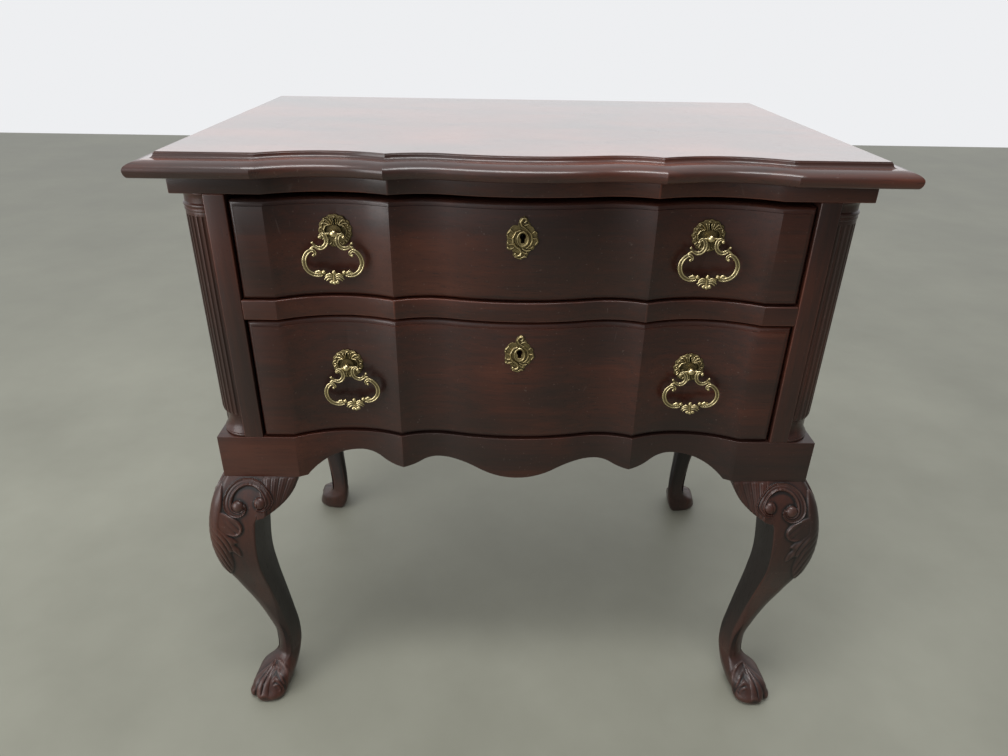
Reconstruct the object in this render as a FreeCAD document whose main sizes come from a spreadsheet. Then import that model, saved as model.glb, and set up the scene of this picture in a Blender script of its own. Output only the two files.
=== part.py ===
import FreeCAD, Part
import math
import os
import re
import Sketcher

# A lowboy: a small chest of two drawers with a shaped front, on four cabriole legs.
# Millimetres, +Z up, the front towards -Y. The origin is on the floor, in the middle of the case.

doc = FreeCAD.newDocument("lowboy")
sheet = doc.addObject("Spreadsheet::Sheet", "sizes")

# Every size that can be set by itself, grouped by the piece that carries it.
sizes = {
    # Case
    "case_width": 716.6,
    "case_depth": 453.3,
    "base_height": 56.5,
    "lower_opening": 152.0,
    "divider_height": 22.5,
    "upper_opening": 114.4,
    "frieze_height": 19.6,
    "rail_depth": 60.0,
    "side_reveal": 3.3,
    "end_panel_thickness": 21.0,
    "stile_width": 21.9,
    "stile_depth": 44.0,
    "back_thickness": 8.0,
    "rear_post_size": 28.0,
    # Top board and the moulding round its edge
    "top_thickness": 22.0,
    "top_overhang_front": 25.5,
    "top_overhang_side": 29.2,
    "top_overhang_back": 8.85,
    "top_moulding_run": 24.1,
    # Shaped front, measured back from the front plane
    "lobe_depth": 17.3,
    "cusp_depth": 5.0,
    "swell_foot": 10.4,
    "swell_crown": 1.5,
    "hollow_radius": 99.0,
    "scallop_rise": 30.6,
    # Quarter columns
    "column_radius": 30.0,
    "column_inset": 31.8,
    "column_base_height": 26.5,
    "column_capital_height": 20.0,
    "flute_radius": 2.2,
    "flute_stop": 4.0,
    # Legs and knee brackets
    "leg_height": 375.0,
    "leg_size": 48.0,
    "foot_forward": 12.0,
    "bracket_reach": 90.0,
    "bracket_drop": 55.6,
    "bracket_thickness": 34.0,
    "bracket_radius": 65.2,
    "dowel_radius": 6.0,
    "dowel_length": 50.0,
    # Drawer carriage
    "runner_width": 49.0,
    "guide_height": 18.0,
    "stop_width": 40.0,
    "stop_depth": 14.0,
    "stop_height": 6.0,
    "screw_radius": 2.2,
    "screw_head_radius": 4.2,
    "screw_head_height": 3.0,
    "screw_bite": 13.0,
    # Drawers
    "drawer_side_gap": 2.0,
    "drawer_bottom_gap": 1.2,
    "upper_top_gap": 6.0,
    "lower_top_gap": 2.5,
    "drawer_front_depth": 40.0,
    "drawer_rear_gap": 17.0,
    "edge_step": 2.0,
    "edge_margin": 6.0,
    "drawer_side_inset": 1.1,
    "drawer_side_thickness": 12.0,
    "drawer_side_drop": 7.0,
    "drawer_back_drop": 5.0,
    "drawer_bottom_lift": 9.0,
    "drawer_bottom_thickness": 6.0,
    "groove_depth": 5.0,
    # Locks and escutcheons
    "lock_width": 60.0,
    "lock_height": 47.0,
    "lock_thickness": 11.0,
    "bolt_width": 24.0,
    "bolt_height": 28.0,
    "bolt_thickness": 5.0,
    "bolt_travel": 13.0,
    "slide_gap": 0.3,
    "mortise_gap": 1.5,
    "key_drop": 33.5,
    "key_radius": 3.2,
    "key_slot_width": 3.6,
    "key_slot_drop": 7.0,
    "escutcheon_width": 32.0,
    "escutcheon_height": 46.0,
    "escutcheon_thickness": 3.0,
    "lock_screw_radius": 1.6,
    "lock_screw_bite": 8.0,
    # Pulls
    "upper_pull_drop": 34.4,
    "lower_pull_drop": 57.4,
    "plate_radius": 18.0,
    "plate_thickness": 3.0,
    "plate_window_radius": 3.6,
    "pivot_reach": 11.0,
    "ball_radius": 4.2,
    "collar_radius": 7.0,
    "collar_height": 2.0,
    "shank_radius": 2.4,
    "hole_gap": 0.15,
    "nut_radius": 5.5,
    "nut_height": 4.0,
    "shank_end": 1.5,
    "pin_radius": 1.5,
    "pin_gap": 0.05,
    "pin_end": 1.0,
    "bail_wire_radius": 2.1,
    "bail_scroll_place": 12.3,
    "bail_scroll_radius": 7.5,
    "bail_loop_place": 13.3,
    "bail_loop_radius": 15.6,
    "bail_bud_radius": 5.2,
    "bail_bud_drop": 2.0,
    # Cuts run this far past the piece
    "overrun": 5.0,
}

# The shaped front's places across the opening, as shares of half its width.
lobe_centre_share = 0.651
lobe_half_share = 0.2273
swell_half_share = 0.2557

# Sizes and levels that follow from those above.
derived = {
    "half_width": "=case_width / 2",
    "half_depth": "=case_depth / 2",
    "base_top": "=leg_height + base_height",
    "divider_bottom": "=base_top + lower_opening",
    "divider_top": "=divider_bottom + divider_height",
    "frieze_bottom": "=divider_top + upper_opening",
    "top_bottom": "=frieze_bottom + frieze_height",
    "panel_outer": "=half_width - side_reveal",
    "panel_inner": "=panel_outer - end_panel_thickness",
    "column_edge": "=panel_outer - column_radius",
    "opening_half": "=column_edge - stile_width",
    "case_front": "=-half_depth",
    "rail_back": "=case_front + rail_depth",
    "back_front": "=half_depth - back_thickness",
    "post_front": "=back_front - rear_post_size",
    "lobe_place": f"=opening_half * {lobe_centre_share}",
    "lobe_half": f"=opening_half * {lobe_half_share}",
    "lobe_radius": "=(lobe_half ^ 2 + lobe_depth ^ 2) / (2 * lobe_depth)",
    "lobe_end": "=lobe_place + lobe_half",
    "cusp_place": "=lobe_place - sqrt(lobe_radius ^ 2 - (lobe_radius - lobe_depth + cusp_depth) ^ 2)",
    "swell_half": f"=opening_half * {swell_half_share}",
    "swell_rise": "=swell_foot - swell_crown",
    "swell_radius": "=(swell_half ^ 2 + swell_rise ^ 2) / (2 * swell_rise)",
    "front_back": "=case_front + drawer_front_depth",
    "drawer_half": "=opening_half - drawer_side_gap",
    "box_half": "=drawer_half - drawer_side_inset",
    "box_inner": "=box_half - drawer_side_thickness",
    "drawer_end": "=post_front - drawer_rear_gap",
    "plate_sag": "=lobe_radius - sqrt(lobe_radius ^ 2 - plate_radius ^ 2)",
    "plate_seat": "=case_front + lobe_depth - plate_sag",
    "pivot_place": "=plate_seat - pivot_reach",
    "lock_front": "=front_back - lock_thickness",
    "dowel_place": "=leg_size / 2",
}

for row, (name, number) in enumerate(list(sizes.items()) + list(derived.items()), 1):
    sheet.set(f"A{row}", name)
    sheet.set(f"B{row}", str(number))
    sheet.setAlias(f"B{row}", name)
doc.recompute()

# The finished sub-parts, by the name of the node that each becomes.
nodes = {}

# The side of its direction of travel on which an arc bulges.
left = 1
right = -1

# How a rod that stands along Z is turned to lie along each axis, and how a ball is turned to face the front.
turns = {
    "x": FreeCAD.Rotation(FreeCAD.Vector(0, 1, 0), 90),
    "y": FreeCAD.Rotation(FreeCAD.Vector(1, 0, 0), -90),
    "z": FreeCAD.Rotation(),
    "front": FreeCAD.Rotation(FreeCAD.Vector(0, 0, 1), -90),
}


def value(text):
    """The number that an expression in named sizes comes to."""
    return float(sheet.evalExpression(text))


def bind(item, place, text):
    """Tie a property to an expression in named sizes: all of them have an underscore, or are the overrun."""
    full = re.sub(r"[a-z]+_[a-z_]+|overrun", lambda found: "sizes." + found.group(), text)
    item.setExpression(place, full)


def put(item, place):
    """Tie an object's position to three expressions."""
    for axis, text in zip("xyz", place):
        bind(item, f"Placement.Base.{axis}", text)
    return item


def keep(label, item):
    """Name a finished sub-part."""
    item.Label = label
    nodes[label] = item
    return item


def board(label, low, high):
    """A rectangular board between its lowest and highest corners."""
    item = doc.addObject("Part::Box", label)
    for name, start, end in zip(("Length", "Width", "Height"), low, high):
        bind(item, name, f"({end}) - ({start})")
    return put(item, low)


def rod(label, axis, start, length, radius):
    """A round rod that runs along an axis from its start."""
    item = doc.addObject("Part::Cylinder", label)
    item.Placement = FreeCAD.Placement(FreeCAD.Vector(), turns[axis])
    bind(item, "Height", length)
    bind(item, "Radius", radius)
    return put(item, start)


def ball(label, centre, radius):
    """A ball, with its seam to the front, clear of the pieces that pass through it sideways."""
    item = doc.addObject("Part::Sphere", label)
    item.Placement = FreeCAD.Placement(FreeCAD.Vector(), turns["front"])
    bind(item, "Radius", radius)
    return put(item, centre)


def joined(label, items):
    """Several solids made one."""
    if len(items) == 1:
        return items[0]
    item = doc.addObject("Part::MultiFuse", label)
    item.Shapes = items
    return item


def cut(label, base, tools):
    """A solid with others taken out of it."""
    item = doc.addObject("Part::Cut", label)
    item.Base = base
    item.Tool = joined(label + "_cutters", tools)
    return item


def group(label, items):
    """Like solids that share a node."""
    item = doc.addObject("Part::Compound", label)
    item.Links = items
    return item


def copy_at(label, source, place):
    """A copy of a solid that was modelled at the origin."""
    return put(group(label, [source]), place)


def mirrored(label, source, normal=(1, 0, 0)):
    """The other-handed copy of a solid, across a plane through the origin."""
    item = doc.addObject("Part::Mirroring", label)
    item.Source = source
    item.Normal = FreeCAD.Vector(*normal)
    return item


def draw(sketch, start, steps, closed=True):
    """Draw an outline from its start through lines (x, y) and arcs (x, y, radius, side)."""
    pieces = []
    here = start
    for step in steps:
        begin = FreeCAD.Vector(value(here[0]), value(here[1]), 0)
        end = FreeCAD.Vector(value(step[0]), value(step[1]), 0)
        line = Part.LineSegment(begin, end)
        forward = True
        if len(step) > 2:
            chord = end - begin
            radius = value(step[2])
            rise = radius - math.sqrt(radius ** 2 - chord.Length ** 2 / 4)
            middle = (begin + end) / 2 + FreeCAD.Vector(-chord.y, chord.x, 0).normalize() * rise * step[3]
            forward = step[3] == right
            line = Part.ArcOfCircle(begin, middle, end) if forward else Part.ArcOfCircle(end, middle, begin)
        pieces.append((sketch.addGeometry(line), 1 if forward else 2, 2 if forward else 1, step))
        here = step
    fixed = []
    for number, first, last, step in pieces:
        fixed.append((("DistanceX", -1, 1, number, last), step[0]))
        fixed.append((("DistanceY", -1, 1, number, last), step[1]))
        if len(step) > 2:
            fixed.append((("Radius", number), step[2]))
    if not closed:
        number, first = pieces[0][:2]
        fixed.append((("DistanceX", -1, 1, number, first), start[0]))
        fixed.append((("DistanceY", -1, 1, number, first), start[1]))
    followers = pieces[1:] + (pieces[:1] if closed else [])
    meetings = [
        Sketcher.Constraint("Coincident", before[0], before[2], after[0], after[1])
        for before, after in zip(pieces, followers)
    ]
    sketch.addConstraint(meetings)
    offset = sketch.ConstraintCount
    sketch.addConstraint([Sketcher.Constraint(*kind, value(text)) for kind, text in fixed])
    for index, (kind, text) in enumerate(fixed):
        bind(sketch, f"Constraints[{offset + index}]", text)
    return sketch


def plane_sketch(body, role, lift="0"):
    """A sketch on one of a body's own planes, lifted off it."""
    sketch = body.newObject("Sketcher::SketchObject", body.Name + "_sketch")
    plane = next(item for item in body.Origin.OriginFeatures if item.Role == role)
    sketch.AttachmentSupport = [(plane, "")]
    sketch.MapMode = "FlatFace"
    bind(sketch, "AttachmentOffset.Base.z", lift)
    return sketch


def pad(body, role, outline, length, lift="0"):
    """Add a padded outline to a body. The outline is its start and its steps."""
    sketch = draw(plane_sketch(body, role, lift), *outline)
    feature = body.newObject("PartDesign::Pad", body.Name + "_pad")
    feature.Profile = sketch
    bind(feature, "Length", length)
    return body


def front_outline(front, reach, back):
    """A plan with the shaped front: two hollow lobes, sharp cusps and a swelling centre."""
    start = (f"-({reach})", front)
    steps = [
        ("-lobe_end", front),
        ("-cusp_place", f"{front} + cusp_depth", "lobe_radius", left),
        ("-swell_half", f"{front} + swell_foot", "hollow_radius", left),
        ("swell_half", f"{front} + swell_foot", "swell_radius", right),
        ("cusp_place", f"{front} + cusp_depth", "hollow_radius", left),
        ("lobe_end", front, "lobe_radius", left),
        (reach, front),
        (reach, back),
        (f"-({reach})", back),
        start,
    ]
    return start, steps


def shaped_board(label, outline, bottom, height):
    """A board with the shaped front, at its level."""
    body = pad(doc.addObject("PartDesign::Body", label), "XY_Plane", outline, height)
    bind(body, "Placement.Base.z", bottom)
    return body


# Top board: its edge is moulded on the front and both ends, with a nose below a cove and a small step.
# Each share is of the thickness up from the underside, and of the moulding's run in from its tip.
top_edge_shares = [
    (0.00, 0.16),
    (0.05, 0.088),
    (0.13, 0.036),
    (0.23, 0.008),
    (0.34, 0.00),
    (0.43, 0.018),
    (0.51, 0.066),
    (0.575, 0.132),
    (0.625, 0.215),
    (0.665, 0.32),
    (0.695, 0.445),
    (0.715, 0.58),
    (0.727, 0.71),
    (0.737, 0.79),
    (0.765, 0.85),
    (0.81, 0.90),
    (0.87, 0.935),
    (0.935, 0.955),
    (0.945, 0.99),
    (1.00, 1.00),
]
top_sections = []
for height_share, inset_share in top_edge_shares:
    section = doc.addObject("Sketcher::SketchObject", "top_section")
    front = f"case_front - top_overhang_front + top_moulding_run * {inset_share}"
    reach = f"half_width + top_overhang_side - top_moulding_run * {inset_share}"
    draw(section, *front_outline(front, reach, "half_depth + top_overhang_back"))
    bind(section, "Placement.Base.z", f"top_bottom + top_thickness * {height_share}")
    top_sections.append(section)
top_blank = doc.addObject("Part::Loft", "top_blank")
top_blank.Sections = top_sections
top_blank.Solid = True
top_blank.Ruled = True

# Cleats along both ends carry the top, and keep the upper drawer from tipping. Screws pass up through them.
cleat_right = board(
    "cleat_right",
    ("panel_inner - runner_width", "rail_back", "frieze_bottom"),
    ("panel_inner", "back_front", "top_bottom"),
)
top_screw_shares = [-0.28, 0.30]
top_screws_right = []
for place_share in top_screw_shares:
    place = ("panel_inner - runner_width / 2", f"case_depth * {place_share}")
    shank = rod("screw_shank", "z", (*place, "frieze_bottom"), "frieze_height + screw_bite", "screw_radius")
    head = rod("screw_head", "z", (*place, "frieze_bottom"), "screw_head_height", "screw_head_radius")
    top_screws_right.append(joined("top_screw", [shank, head]))
top_screws_left = [mirrored("top_screw_left", screw) for screw in top_screws_right]
cleat_right_drilled = cut("cleat_right_drilled", cleat_right, top_screws_right)
keep("top_board", cut("top_board", top_blank, top_screws_right + top_screws_left))
keep("top_cleats", group("top_cleats", [cleat_right_drilled, mirrored("cleat_left", cleat_right_drilled)]))
keep("top_screws", group("top_screws", top_screws_right + top_screws_left))


def bolt_box(label, top, grow, rise):
    """The space of a lock bolt below its top edge, grown all round and upwards."""
    across = f"bolt_width / 2 + {grow}"
    middle = "lock_front + lock_thickness / 2"
    deep = f"(bolt_thickness / 2 + {grow})"
    low = (f"-({across})", f"{middle} - {deep}", f"{top} - bolt_height - {grow}")
    return board(label, low, (across, f"{middle} + {deep}", f"{top} + {rise}"))


# Each drawer's name, the rail that it rests on, its front's top edge and the drop to its pulls.
drawers = {
    "upper": ("divider_top", "frieze_bottom - upper_top_gap", "upper_pull_drop"),
    "lower": ("base_top", "divider_bottom - lower_top_gap", "lower_pull_drop"),
}
mortises = {
    name: bolt_box(f"{name}_mortise", front_top, "mortise_gap", "bolt_travel + mortise_gap")
    for name, (floor, front_top, pull_drop) in drawers.items()
}

# Frieze under the top, and the divider between the drawers. Each is mortised for the bolt of the lock below.
rail_outline = front_outline("case_front", "half_width", "rail_back")
frieze = shaped_board("frieze_blank", rail_outline, "frieze_bottom", "frieze_height")
keep("frieze_front", cut("frieze_front", frieze, [mortises["upper"]]))
divider_outline = front_outline("case_front", "opening_half", "rail_back")
divider = shaped_board("divider_blank", divider_outline, "divider_bottom", "divider_height")
keep("divider_rail", cut("divider_rail", divider, [mortises["lower"]]))
frieze_right = keep("frieze_right", board(
    "frieze_right",
    ("panel_inner", "rail_back", "frieze_bottom"),
    ("half_width", "half_depth", "top_bottom"),
))
keep("frieze_left", mirrored("frieze_left", frieze_right))

# End panels stand back from the frieze and the base, and end at the quarter columns.
panel_right = keep("end_panel_right", board(
    "end_panel_right",
    ("panel_inner", "case_front + column_inset", "base_top"),
    ("panel_outer", "half_depth", "frieze_bottom"),
))
keep("end_panel_left", mirrored("end_panel_left", panel_right))
stile_right = keep("stile_right", board(
    "stile_right",
    ("opening_half", "case_front", "base_top"),
    ("column_edge", "case_front + stile_depth", "frieze_bottom"),
))
keep("stile_left", mirrored("stile_left", stile_right))
keep("back_panel", board(
    "back_panel",
    ("-panel_inner", "back_front", "base_top"),
    ("panel_inner", "half_depth", "top_bottom"),
))
post_right = board(
    "post_right",
    ("panel_inner - rear_post_size", "post_front", "base_top"),
    ("panel_inner", "back_front", "frieze_bottom"),
)
keep("rear_posts", group("rear_posts", [post_right, mirrored("post_left", post_right)]))

# Quarter columns in the front corners: a fluted shaft between a turned base and a turned capital.
# Each outline below goes up the piece. Its shares are of the column's radius outwards, of the height along
# the axis and, for an arc, of the height again.
shaft_shares = [
    (0.917, 0.0),
    (1.0, 0.035, 0.065, right),
    (1.0, 1.0),
]
base_shares = [
    (0.995, 0.0),
    (0.995, 0.15, 0.08, right),
    (1.022, 0.18),
    (0.917, 1.0, 0.80, left),
]
capital_shares = [
    (1.0, 0.0),
    (1.022, 0.05),
    (1.022, 0.16),
    (1.0, 0.16),
    (1.0, 0.20),
    (1.0, 0.42, 0.13, right),
    (0.98, 0.46),
    (0.975, 0.72),
    (1.045, 0.95, 0.30, left),
    (1.045, 1.0),
]
column_place = ("column_edge", "case_front + column_inset")
quarter_turn = 90


def turning(label, height, shares):
    """A quarter of a turned piece, about the Z axis, standing on its lower end."""
    body = doc.addObject("PartDesign::Body", label)
    steps = []
    for out_share, along_share, *arc in shares:
        point = (f"column_radius * {out_share}", f"({height}) * {along_share}")
        steps.append(point + ((f"({height}) * {arc[0]}", arc[1]) if arc else ()))
    steps += [("0", height), ("0", "0")]
    sketch = draw(plane_sketch(body, "XZ_Plane"), ("0", "0"), steps)
    feature = body.newObject("PartDesign::Revolution", label + "_turn")
    feature.Profile = sketch
    feature.ReferenceAxis = (sketch, ["V_Axis"])
    feature.Angle = quarter_turn
    feature.Reversed = True
    return body


shaft_low = "base_top + column_base_height"
shaft_top = "frieze_bottom - column_capital_height"
shaft_length = f"{shaft_top} - base_top - column_base_height"
shaft = put(turning("column_blank", shaft_length, shaft_shares), (*column_place, shaft_low))
flute_count = 8
flute_lift_share = 0.25
flutes = []
for index in range(flute_count):
    angle = math.radians((2 * index + 1) / (2 * flute_count) * quarter_turn - quarter_turn)
    out = f"(column_radius + flute_radius * {flute_lift_share})"
    place = (
        f"{column_place[0]} + {out} * {math.cos(angle)}",
        f"{column_place[1]} + {out} * {math.sin(angle)}",
        f"{shaft_low} - overrun",
    )
    flutes.append(rod("flute", "z", place, f"{shaft_length} + overrun - flute_stop", "flute_radius"))
column_right = keep("column_right", cut("column_right", shaft, flutes))
keep("column_left", mirrored("column_left", column_right))
base_right_turned = turning("column_base_right", "column_base_height", base_shares)
capital_right_turned = turning("column_capital_right", "column_capital_height", capital_shares)
put(base_right_turned, (*column_place, "base_top"))
put(capital_right_turned, (*column_place, shaft_top))
for label, turned in (("column_bases", base_right_turned), ("column_capitals", capital_right_turned)):
    keep(label, group(label, [turned, mirrored(label + "_left", turned)]))

# Cabriole legs, made as the right front one. Each row is a level up the leg's height, how far the leg stands
# outside and inside the case's corner as shares of its size, the foot's turn forward, and the rounding of
# the corners. The first level is below the floor, where the sole is cut flat.
leg_shares = [
    (-0.020, 0.050, 0.560, 0.20, 0.42),
    (0.014, 0.350, 0.710, 0.95, 0.42),
    (0.043, 0.335, 0.780, 0.80, 0.40),
    (0.075, 0.210, 0.850, 0.45, 0.40),
    (0.100, -0.110, 0.910, 0.20, 0.42),
    (0.125, -0.310, 0.960, 0.05, 0.44),
    (0.150, -0.345, 0.985, 0.00, 0.45),
    (0.185, -0.352, 1.000, 0.00, 0.45),
    (0.230, -0.335, 1.000, 0.00, 0.45),
    (0.315, -0.230, 0.944, 0.00, 0.42),
    (0.420, -0.062, 0.862, 0.00, 0.38),
    (0.544, 0.188, 0.762, 0.00, 0.33),
    (0.667, 0.440, 0.706, 0.00, 0.30),
    (0.750, 0.512, 0.740, 0.00, 0.29),
    (0.820, 0.500, 0.790, 0.00, 0.28),
    (0.888, 0.415, 0.850, 0.00, 0.26),
    (0.933, 0.305, 0.900, 0.00, 0.22),
    (0.970, 0.155, 0.950, 0.00, 0.17),
    (1.000, 0.000, 1.000, 0.00, 0.12),
]
leg_sections = []
for height_share, out_share, in_share, forward_share, round_share in leg_shares:
    section = doc.addObject("Sketcher::SketchObject", "leg_section")
    west = f"half_width - leg_size * {in_share}"
    east = f"half_width + leg_size * {out_share}"
    north = f"case_front + leg_size * {in_share}"
    south = f"case_front - leg_size * {out_share} - foot_forward * {forward_share}"
    corner = f"leg_size * {(out_share + in_share) * round_share}"
    start = (f"{west} + {corner}", south)
    draw(section, start, [
        (f"{east} - {corner}", south),
        (east, f"{south} + {corner}", corner, right),
        (east, f"{north} - {corner}"),
        (f"{east} - {corner}", north, corner, right),
        (f"{west} + {corner}", north),
        (west, f"{north} - {corner}", corner, right),
        (west, f"{south} + {corner}"),
        (*start, corner, right),
    ])
    bind(section, "Placement.Base.z", f"leg_height * {height_share}")
    leg_sections.append(section)
leg_blank = doc.addObject("Part::Loft", "leg_blank")
leg_blank.Sections = leg_sections
leg_blank.Solid = True
leg_blank.Ruled = False
dowel = rod(
    "dowel",
    "z",
    ("half_width - dowel_place", "case_front + dowel_place", "leg_height - dowel_length / 2"),
    "dowel_length",
    "dowel_radius",
)
floor_cutter = board(
    "floor_cutter",
    ("half_width - leg_size - overrun", "case_front - leg_size - overrun", "-leg_size"),
    ("half_width + leg_size + overrun", "case_front + leg_size + overrun", "0"),
)
leg = keep("leg_front_right", cut("leg_front_right", leg_blank, [dowel, floor_cutter]))
leg_left = keep("leg_front_left", mirrored("leg_front_left", leg))
keep("leg_rear_right", mirrored("leg_rear_right", leg, (0, 1, 0)))
keep("leg_rear_left", mirrored("leg_rear_left", leg_left, (0, 1, 0)))
dowels_front = [dowel, mirrored("dowel_front_left", dowel)]
dowels_rear = [mirrored("dowel_rear", item, (0, 1, 0)) for item in dowels_front]
keep("leg_dowels", group("leg_dowels", dowels_front + dowels_rear))

# Knee brackets fill the corner between a leg and the base, one along the front and one along the end.
bracket_root_share = 0.55
bracket_outline = [
    (f"leg_size * {bracket_root_share}", "leg_height - bracket_drop", "bracket_radius", right),
    (f"leg_size * {bracket_root_share}", "leg_height"),
    ("bracket_reach", "leg_height"),
]


def bracket(label, role, sign, corner, place):
    """A bracket on a body's upright plane, measured in from the case's corner."""
    steps = []
    for inwards, level, *arc in bracket_outline:
        bend = (arc[0], arc[1] * sign) if arc else ()
        steps.append((f"{corner} - {sign} * ({inwards})", level) + bend)
    body = pad(doc.addObject("PartDesign::Body", label), role, (steps[-1], steps), "bracket_thickness")
    put(body, place)
    return cut(label + "_fitted", body, [leg_blank])


front_bracket = bracket(
    "bracket_front", "XZ_Plane", 1, "half_width", ("0", "case_front + bracket_thickness", "0")
)
end_bracket = bracket(
    "bracket_end", "YZ_Plane", -1, "case_front", ("half_width - bracket_thickness", "0", "0")
)
bracket_pair = group("knee_brackets_front_right", [front_bracket, end_bracket])
brackets = keep("knee_brackets_front_right", bracket_pair)
brackets_left = keep("knee_brackets_front_left", mirrored("knee_brackets_front_left", brackets))
keep("knee_brackets_rear_right", mirrored("knee_brackets_rear_right", brackets, (0, 1, 0)))
keep("knee_brackets_rear_left", mirrored("knee_brackets_rear_left", brackets_left, (0, 1, 0)))

# Base: a front rail with the shaped front and a scalloped lower edge, two end rails and a back rail.
# The scallops' turning points are shares of half the opening outwards and of the rise upwards.
scallop_shares = [(0.848, 0.0), (0.627, 1.0), (0.4586, 0.40), (0.3134, 0.80), (0.0, 0.02)]


def spring(start, end):
    """One arc between the base's flat end and the level top of the first scallop."""
    run = f"(({end[0]}) - ({start[0]}))"
    rise = f"(({end[1]}) - ({start[1]}))"
    return [(*end, f"(({run} ^ 2 + {rise} ^ 2) / (2 * abs({rise})))", right)]


def ogee(start, end):
    """Two equal arcs that join two level points of the scalloped edge."""
    run = f"((({end[0]}) - ({start[0]})) / 2)"
    rise = f"((({end[1]}) - ({start[1]})) / 2)"
    radius = f"(({run} ^ 2 + {rise} ^ 2) / (2 * abs({rise})))"
    bend = left if value(rise) > 0 else right
    if value(run) > 0:
        bend = -bend
    middle = (f"{start[0]} + {run}", f"{start[1]} + {rise}")
    return [(*middle, radius, bend), (*end, radius, -bend)]


scallop_half = [
    (f"opening_half * {out_share}", f"leg_height + scallop_rise * {rise_share}")
    for out_share, rise_share in scallop_shares
]
scallop_points = scallop_half + [(f"-{across}", level) for across, level in reversed(scallop_half[:-1])]
edge_start = ("half_width", "base_top")
edge_steps = [("half_width", "leg_height"), scallop_points[0]]
scallops = list(zip(scallop_points, scallop_points[1:]))
edge_steps += spring(*scallops[0])
for before, after in scallops[1:-1]:
    edge_steps += ogee(before, after)
edge_steps += spring(*scallops[-1])
edge_steps += [("-half_width", "leg_height"), ("-half_width", "base_top"), edge_start]
base_plan = shaped_board("base_plan", rail_outline, "leg_height", "base_height")
base_face = doc.addObject("PartDesign::Body", "base_face")
pad(base_face, "XZ_Plane", (edge_start, edge_steps), "rail_depth")
put(base_face, ("0", "rail_back", "0"))
base_blank = doc.addObject("Part::Common", "base_blank")
base_blank.Base = base_plan
base_blank.Tool = base_face
keep("base_front", cut("base_front", base_blank, dowels_front))
base_right = keep("base_right", board(
    "base_right",
    ("panel_inner", "rail_back", "leg_height"),
    ("half_width", "half_depth - rail_depth", "base_top"),
))
keep("base_left", mirrored("base_left", base_right))
base_back = board(
    "base_back_blank",
    ("-half_width", "half_depth - rail_depth", "leg_height"),
    ("half_width", "half_depth", "base_top"),
)
keep("base_back", cut("base_back", base_back, dowels_rear))

# Drawer carriage: runners under the drawer sides, guides beside them, and stops behind the fronts.
runner_upper = board(
    "runner_upper",
    ("panel_inner - runner_width", "rail_back", "divider_bottom"),
    ("panel_inner", "post_front", "divider_top"),
)
runner_lower = board(
    "runner_lower",
    ("panel_inner - runner_width", "rail_back", "base_top - divider_height"),
    ("panel_inner", "half_depth - rail_depth", "base_top"),
)
runners = [runner_upper, runner_lower]
runners_left = [mirrored("runner_left", item) for item in runners]
keep("drawer_runners", group("drawer_runners", runners + runners_left))
stop_place_share = 0.5
guides = []
stops = []
for name, (floor, front_top, pull_drop) in drawers.items():
    guides.append(board(
        f"{name}_guide",
        ("opening_half", "case_front + stile_depth", floor),
        ("panel_inner", "post_front", f"{floor} + guide_height"),
    ))
    stop_place = f"opening_half * {stop_place_share}"
    stops.append(board(
        f"{name}_stop",
        (stop_place, "front_back", floor),
        (f"{stop_place} + stop_width", "front_back + stop_depth", f"{floor} + stop_height"),
    ))
keep("drawer_guides", group("drawer_guides", guides + [mirrored("guide_left", item) for item in guides]))
keep("drawer_stops", group("drawer_stops", stops + [mirrored("stop_left", item) for item in stops]))

# A pull's back plate: a round rosette with a lobed rim and two windows, on its seat at the origin.
lobe_count = 14
rim_share = 0.905
rim_bend_share = 1.15
rim_angles = [math.tau * index / lobe_count for index in range(lobe_count + 1)]
rim_points = [
    (f"plate_radius * {rim_share * math.cos(angle)}", f"plate_radius * {rim_share * math.sin(angle)}")
    for angle in rim_angles
]
rim_bend = f"plate_radius * {rim_share * math.sin(math.pi / lobe_count) * rim_bend_share}"
rim_steps = [(*point, rim_bend, right) for point in rim_points[1:]]
plate_blank = pad(
    doc.addObject("PartDesign::Body", "plate_blank"), "XZ_Plane", (rim_points[0], rim_steps), "plate_thickness"
)
window_place = "collar_radius + plate_window_radius"
plate_length = "plate_thickness + 2 * overrun"
windows = [
    rod(
        "plate_window",
        "y",
        (f"{sign} * ({window_place})", "-plate_thickness - overrun", "0"),
        plate_length,
        "plate_window_radius",
    )
    for sign in (1, -1)
]
plate_hole = rod(
    "plate_hole", "y", ("0", "-plate_thickness - overrun", "0"), plate_length, "shank_radius + hole_gap"
)
plate = cut("plate", plate_blank, windows + [plate_hole])

# A pull's post: a ball with a cross bore for the bail's pins, a collar, and a shank that passes the front.
shank_length = "front_back - plate_seat + pivot_reach + nut_height + shank_end"
post_shank = rod("post_shank", "y", ("0", "-pivot_reach", "0"), shank_length, "shank_radius")
post_collar = rod(
    "post_collar", "y", ("0", "-plate_thickness - collar_height", "0"), "collar_height", "collar_radius"
)
post_ball = ball("post_ball", ("0", "-pivot_reach", "0"), "ball_radius")
pin_bore = rod(
    "pin_bore", "x", ("-ball_radius - overrun", "-pivot_reach", "0"),
    "2 * (ball_radius + overrun)", "pin_radius + pin_gap"
)
post = cut("post", joined("post_blank", [post_shank, post_collar, post_ball]), [pin_bore])
nut_blank = doc.addObject("Part::Prism", "nut_blank")
nut_blank.Placement = FreeCAD.Placement(FreeCAD.Vector(), turns["y"])
bind(nut_blank, "Circumradius", "nut_radius")
bind(nut_blank, "Height", "nut_height")
put(nut_blank, ("0", "front_back - plate_seat", "0"))
nut_hole = rod("nut_hole", "y", ("0", "0", "0"), shank_length, "shank_radius + hole_gap")
nut = cut("nut", nut_blank, [nut_hole])

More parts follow.
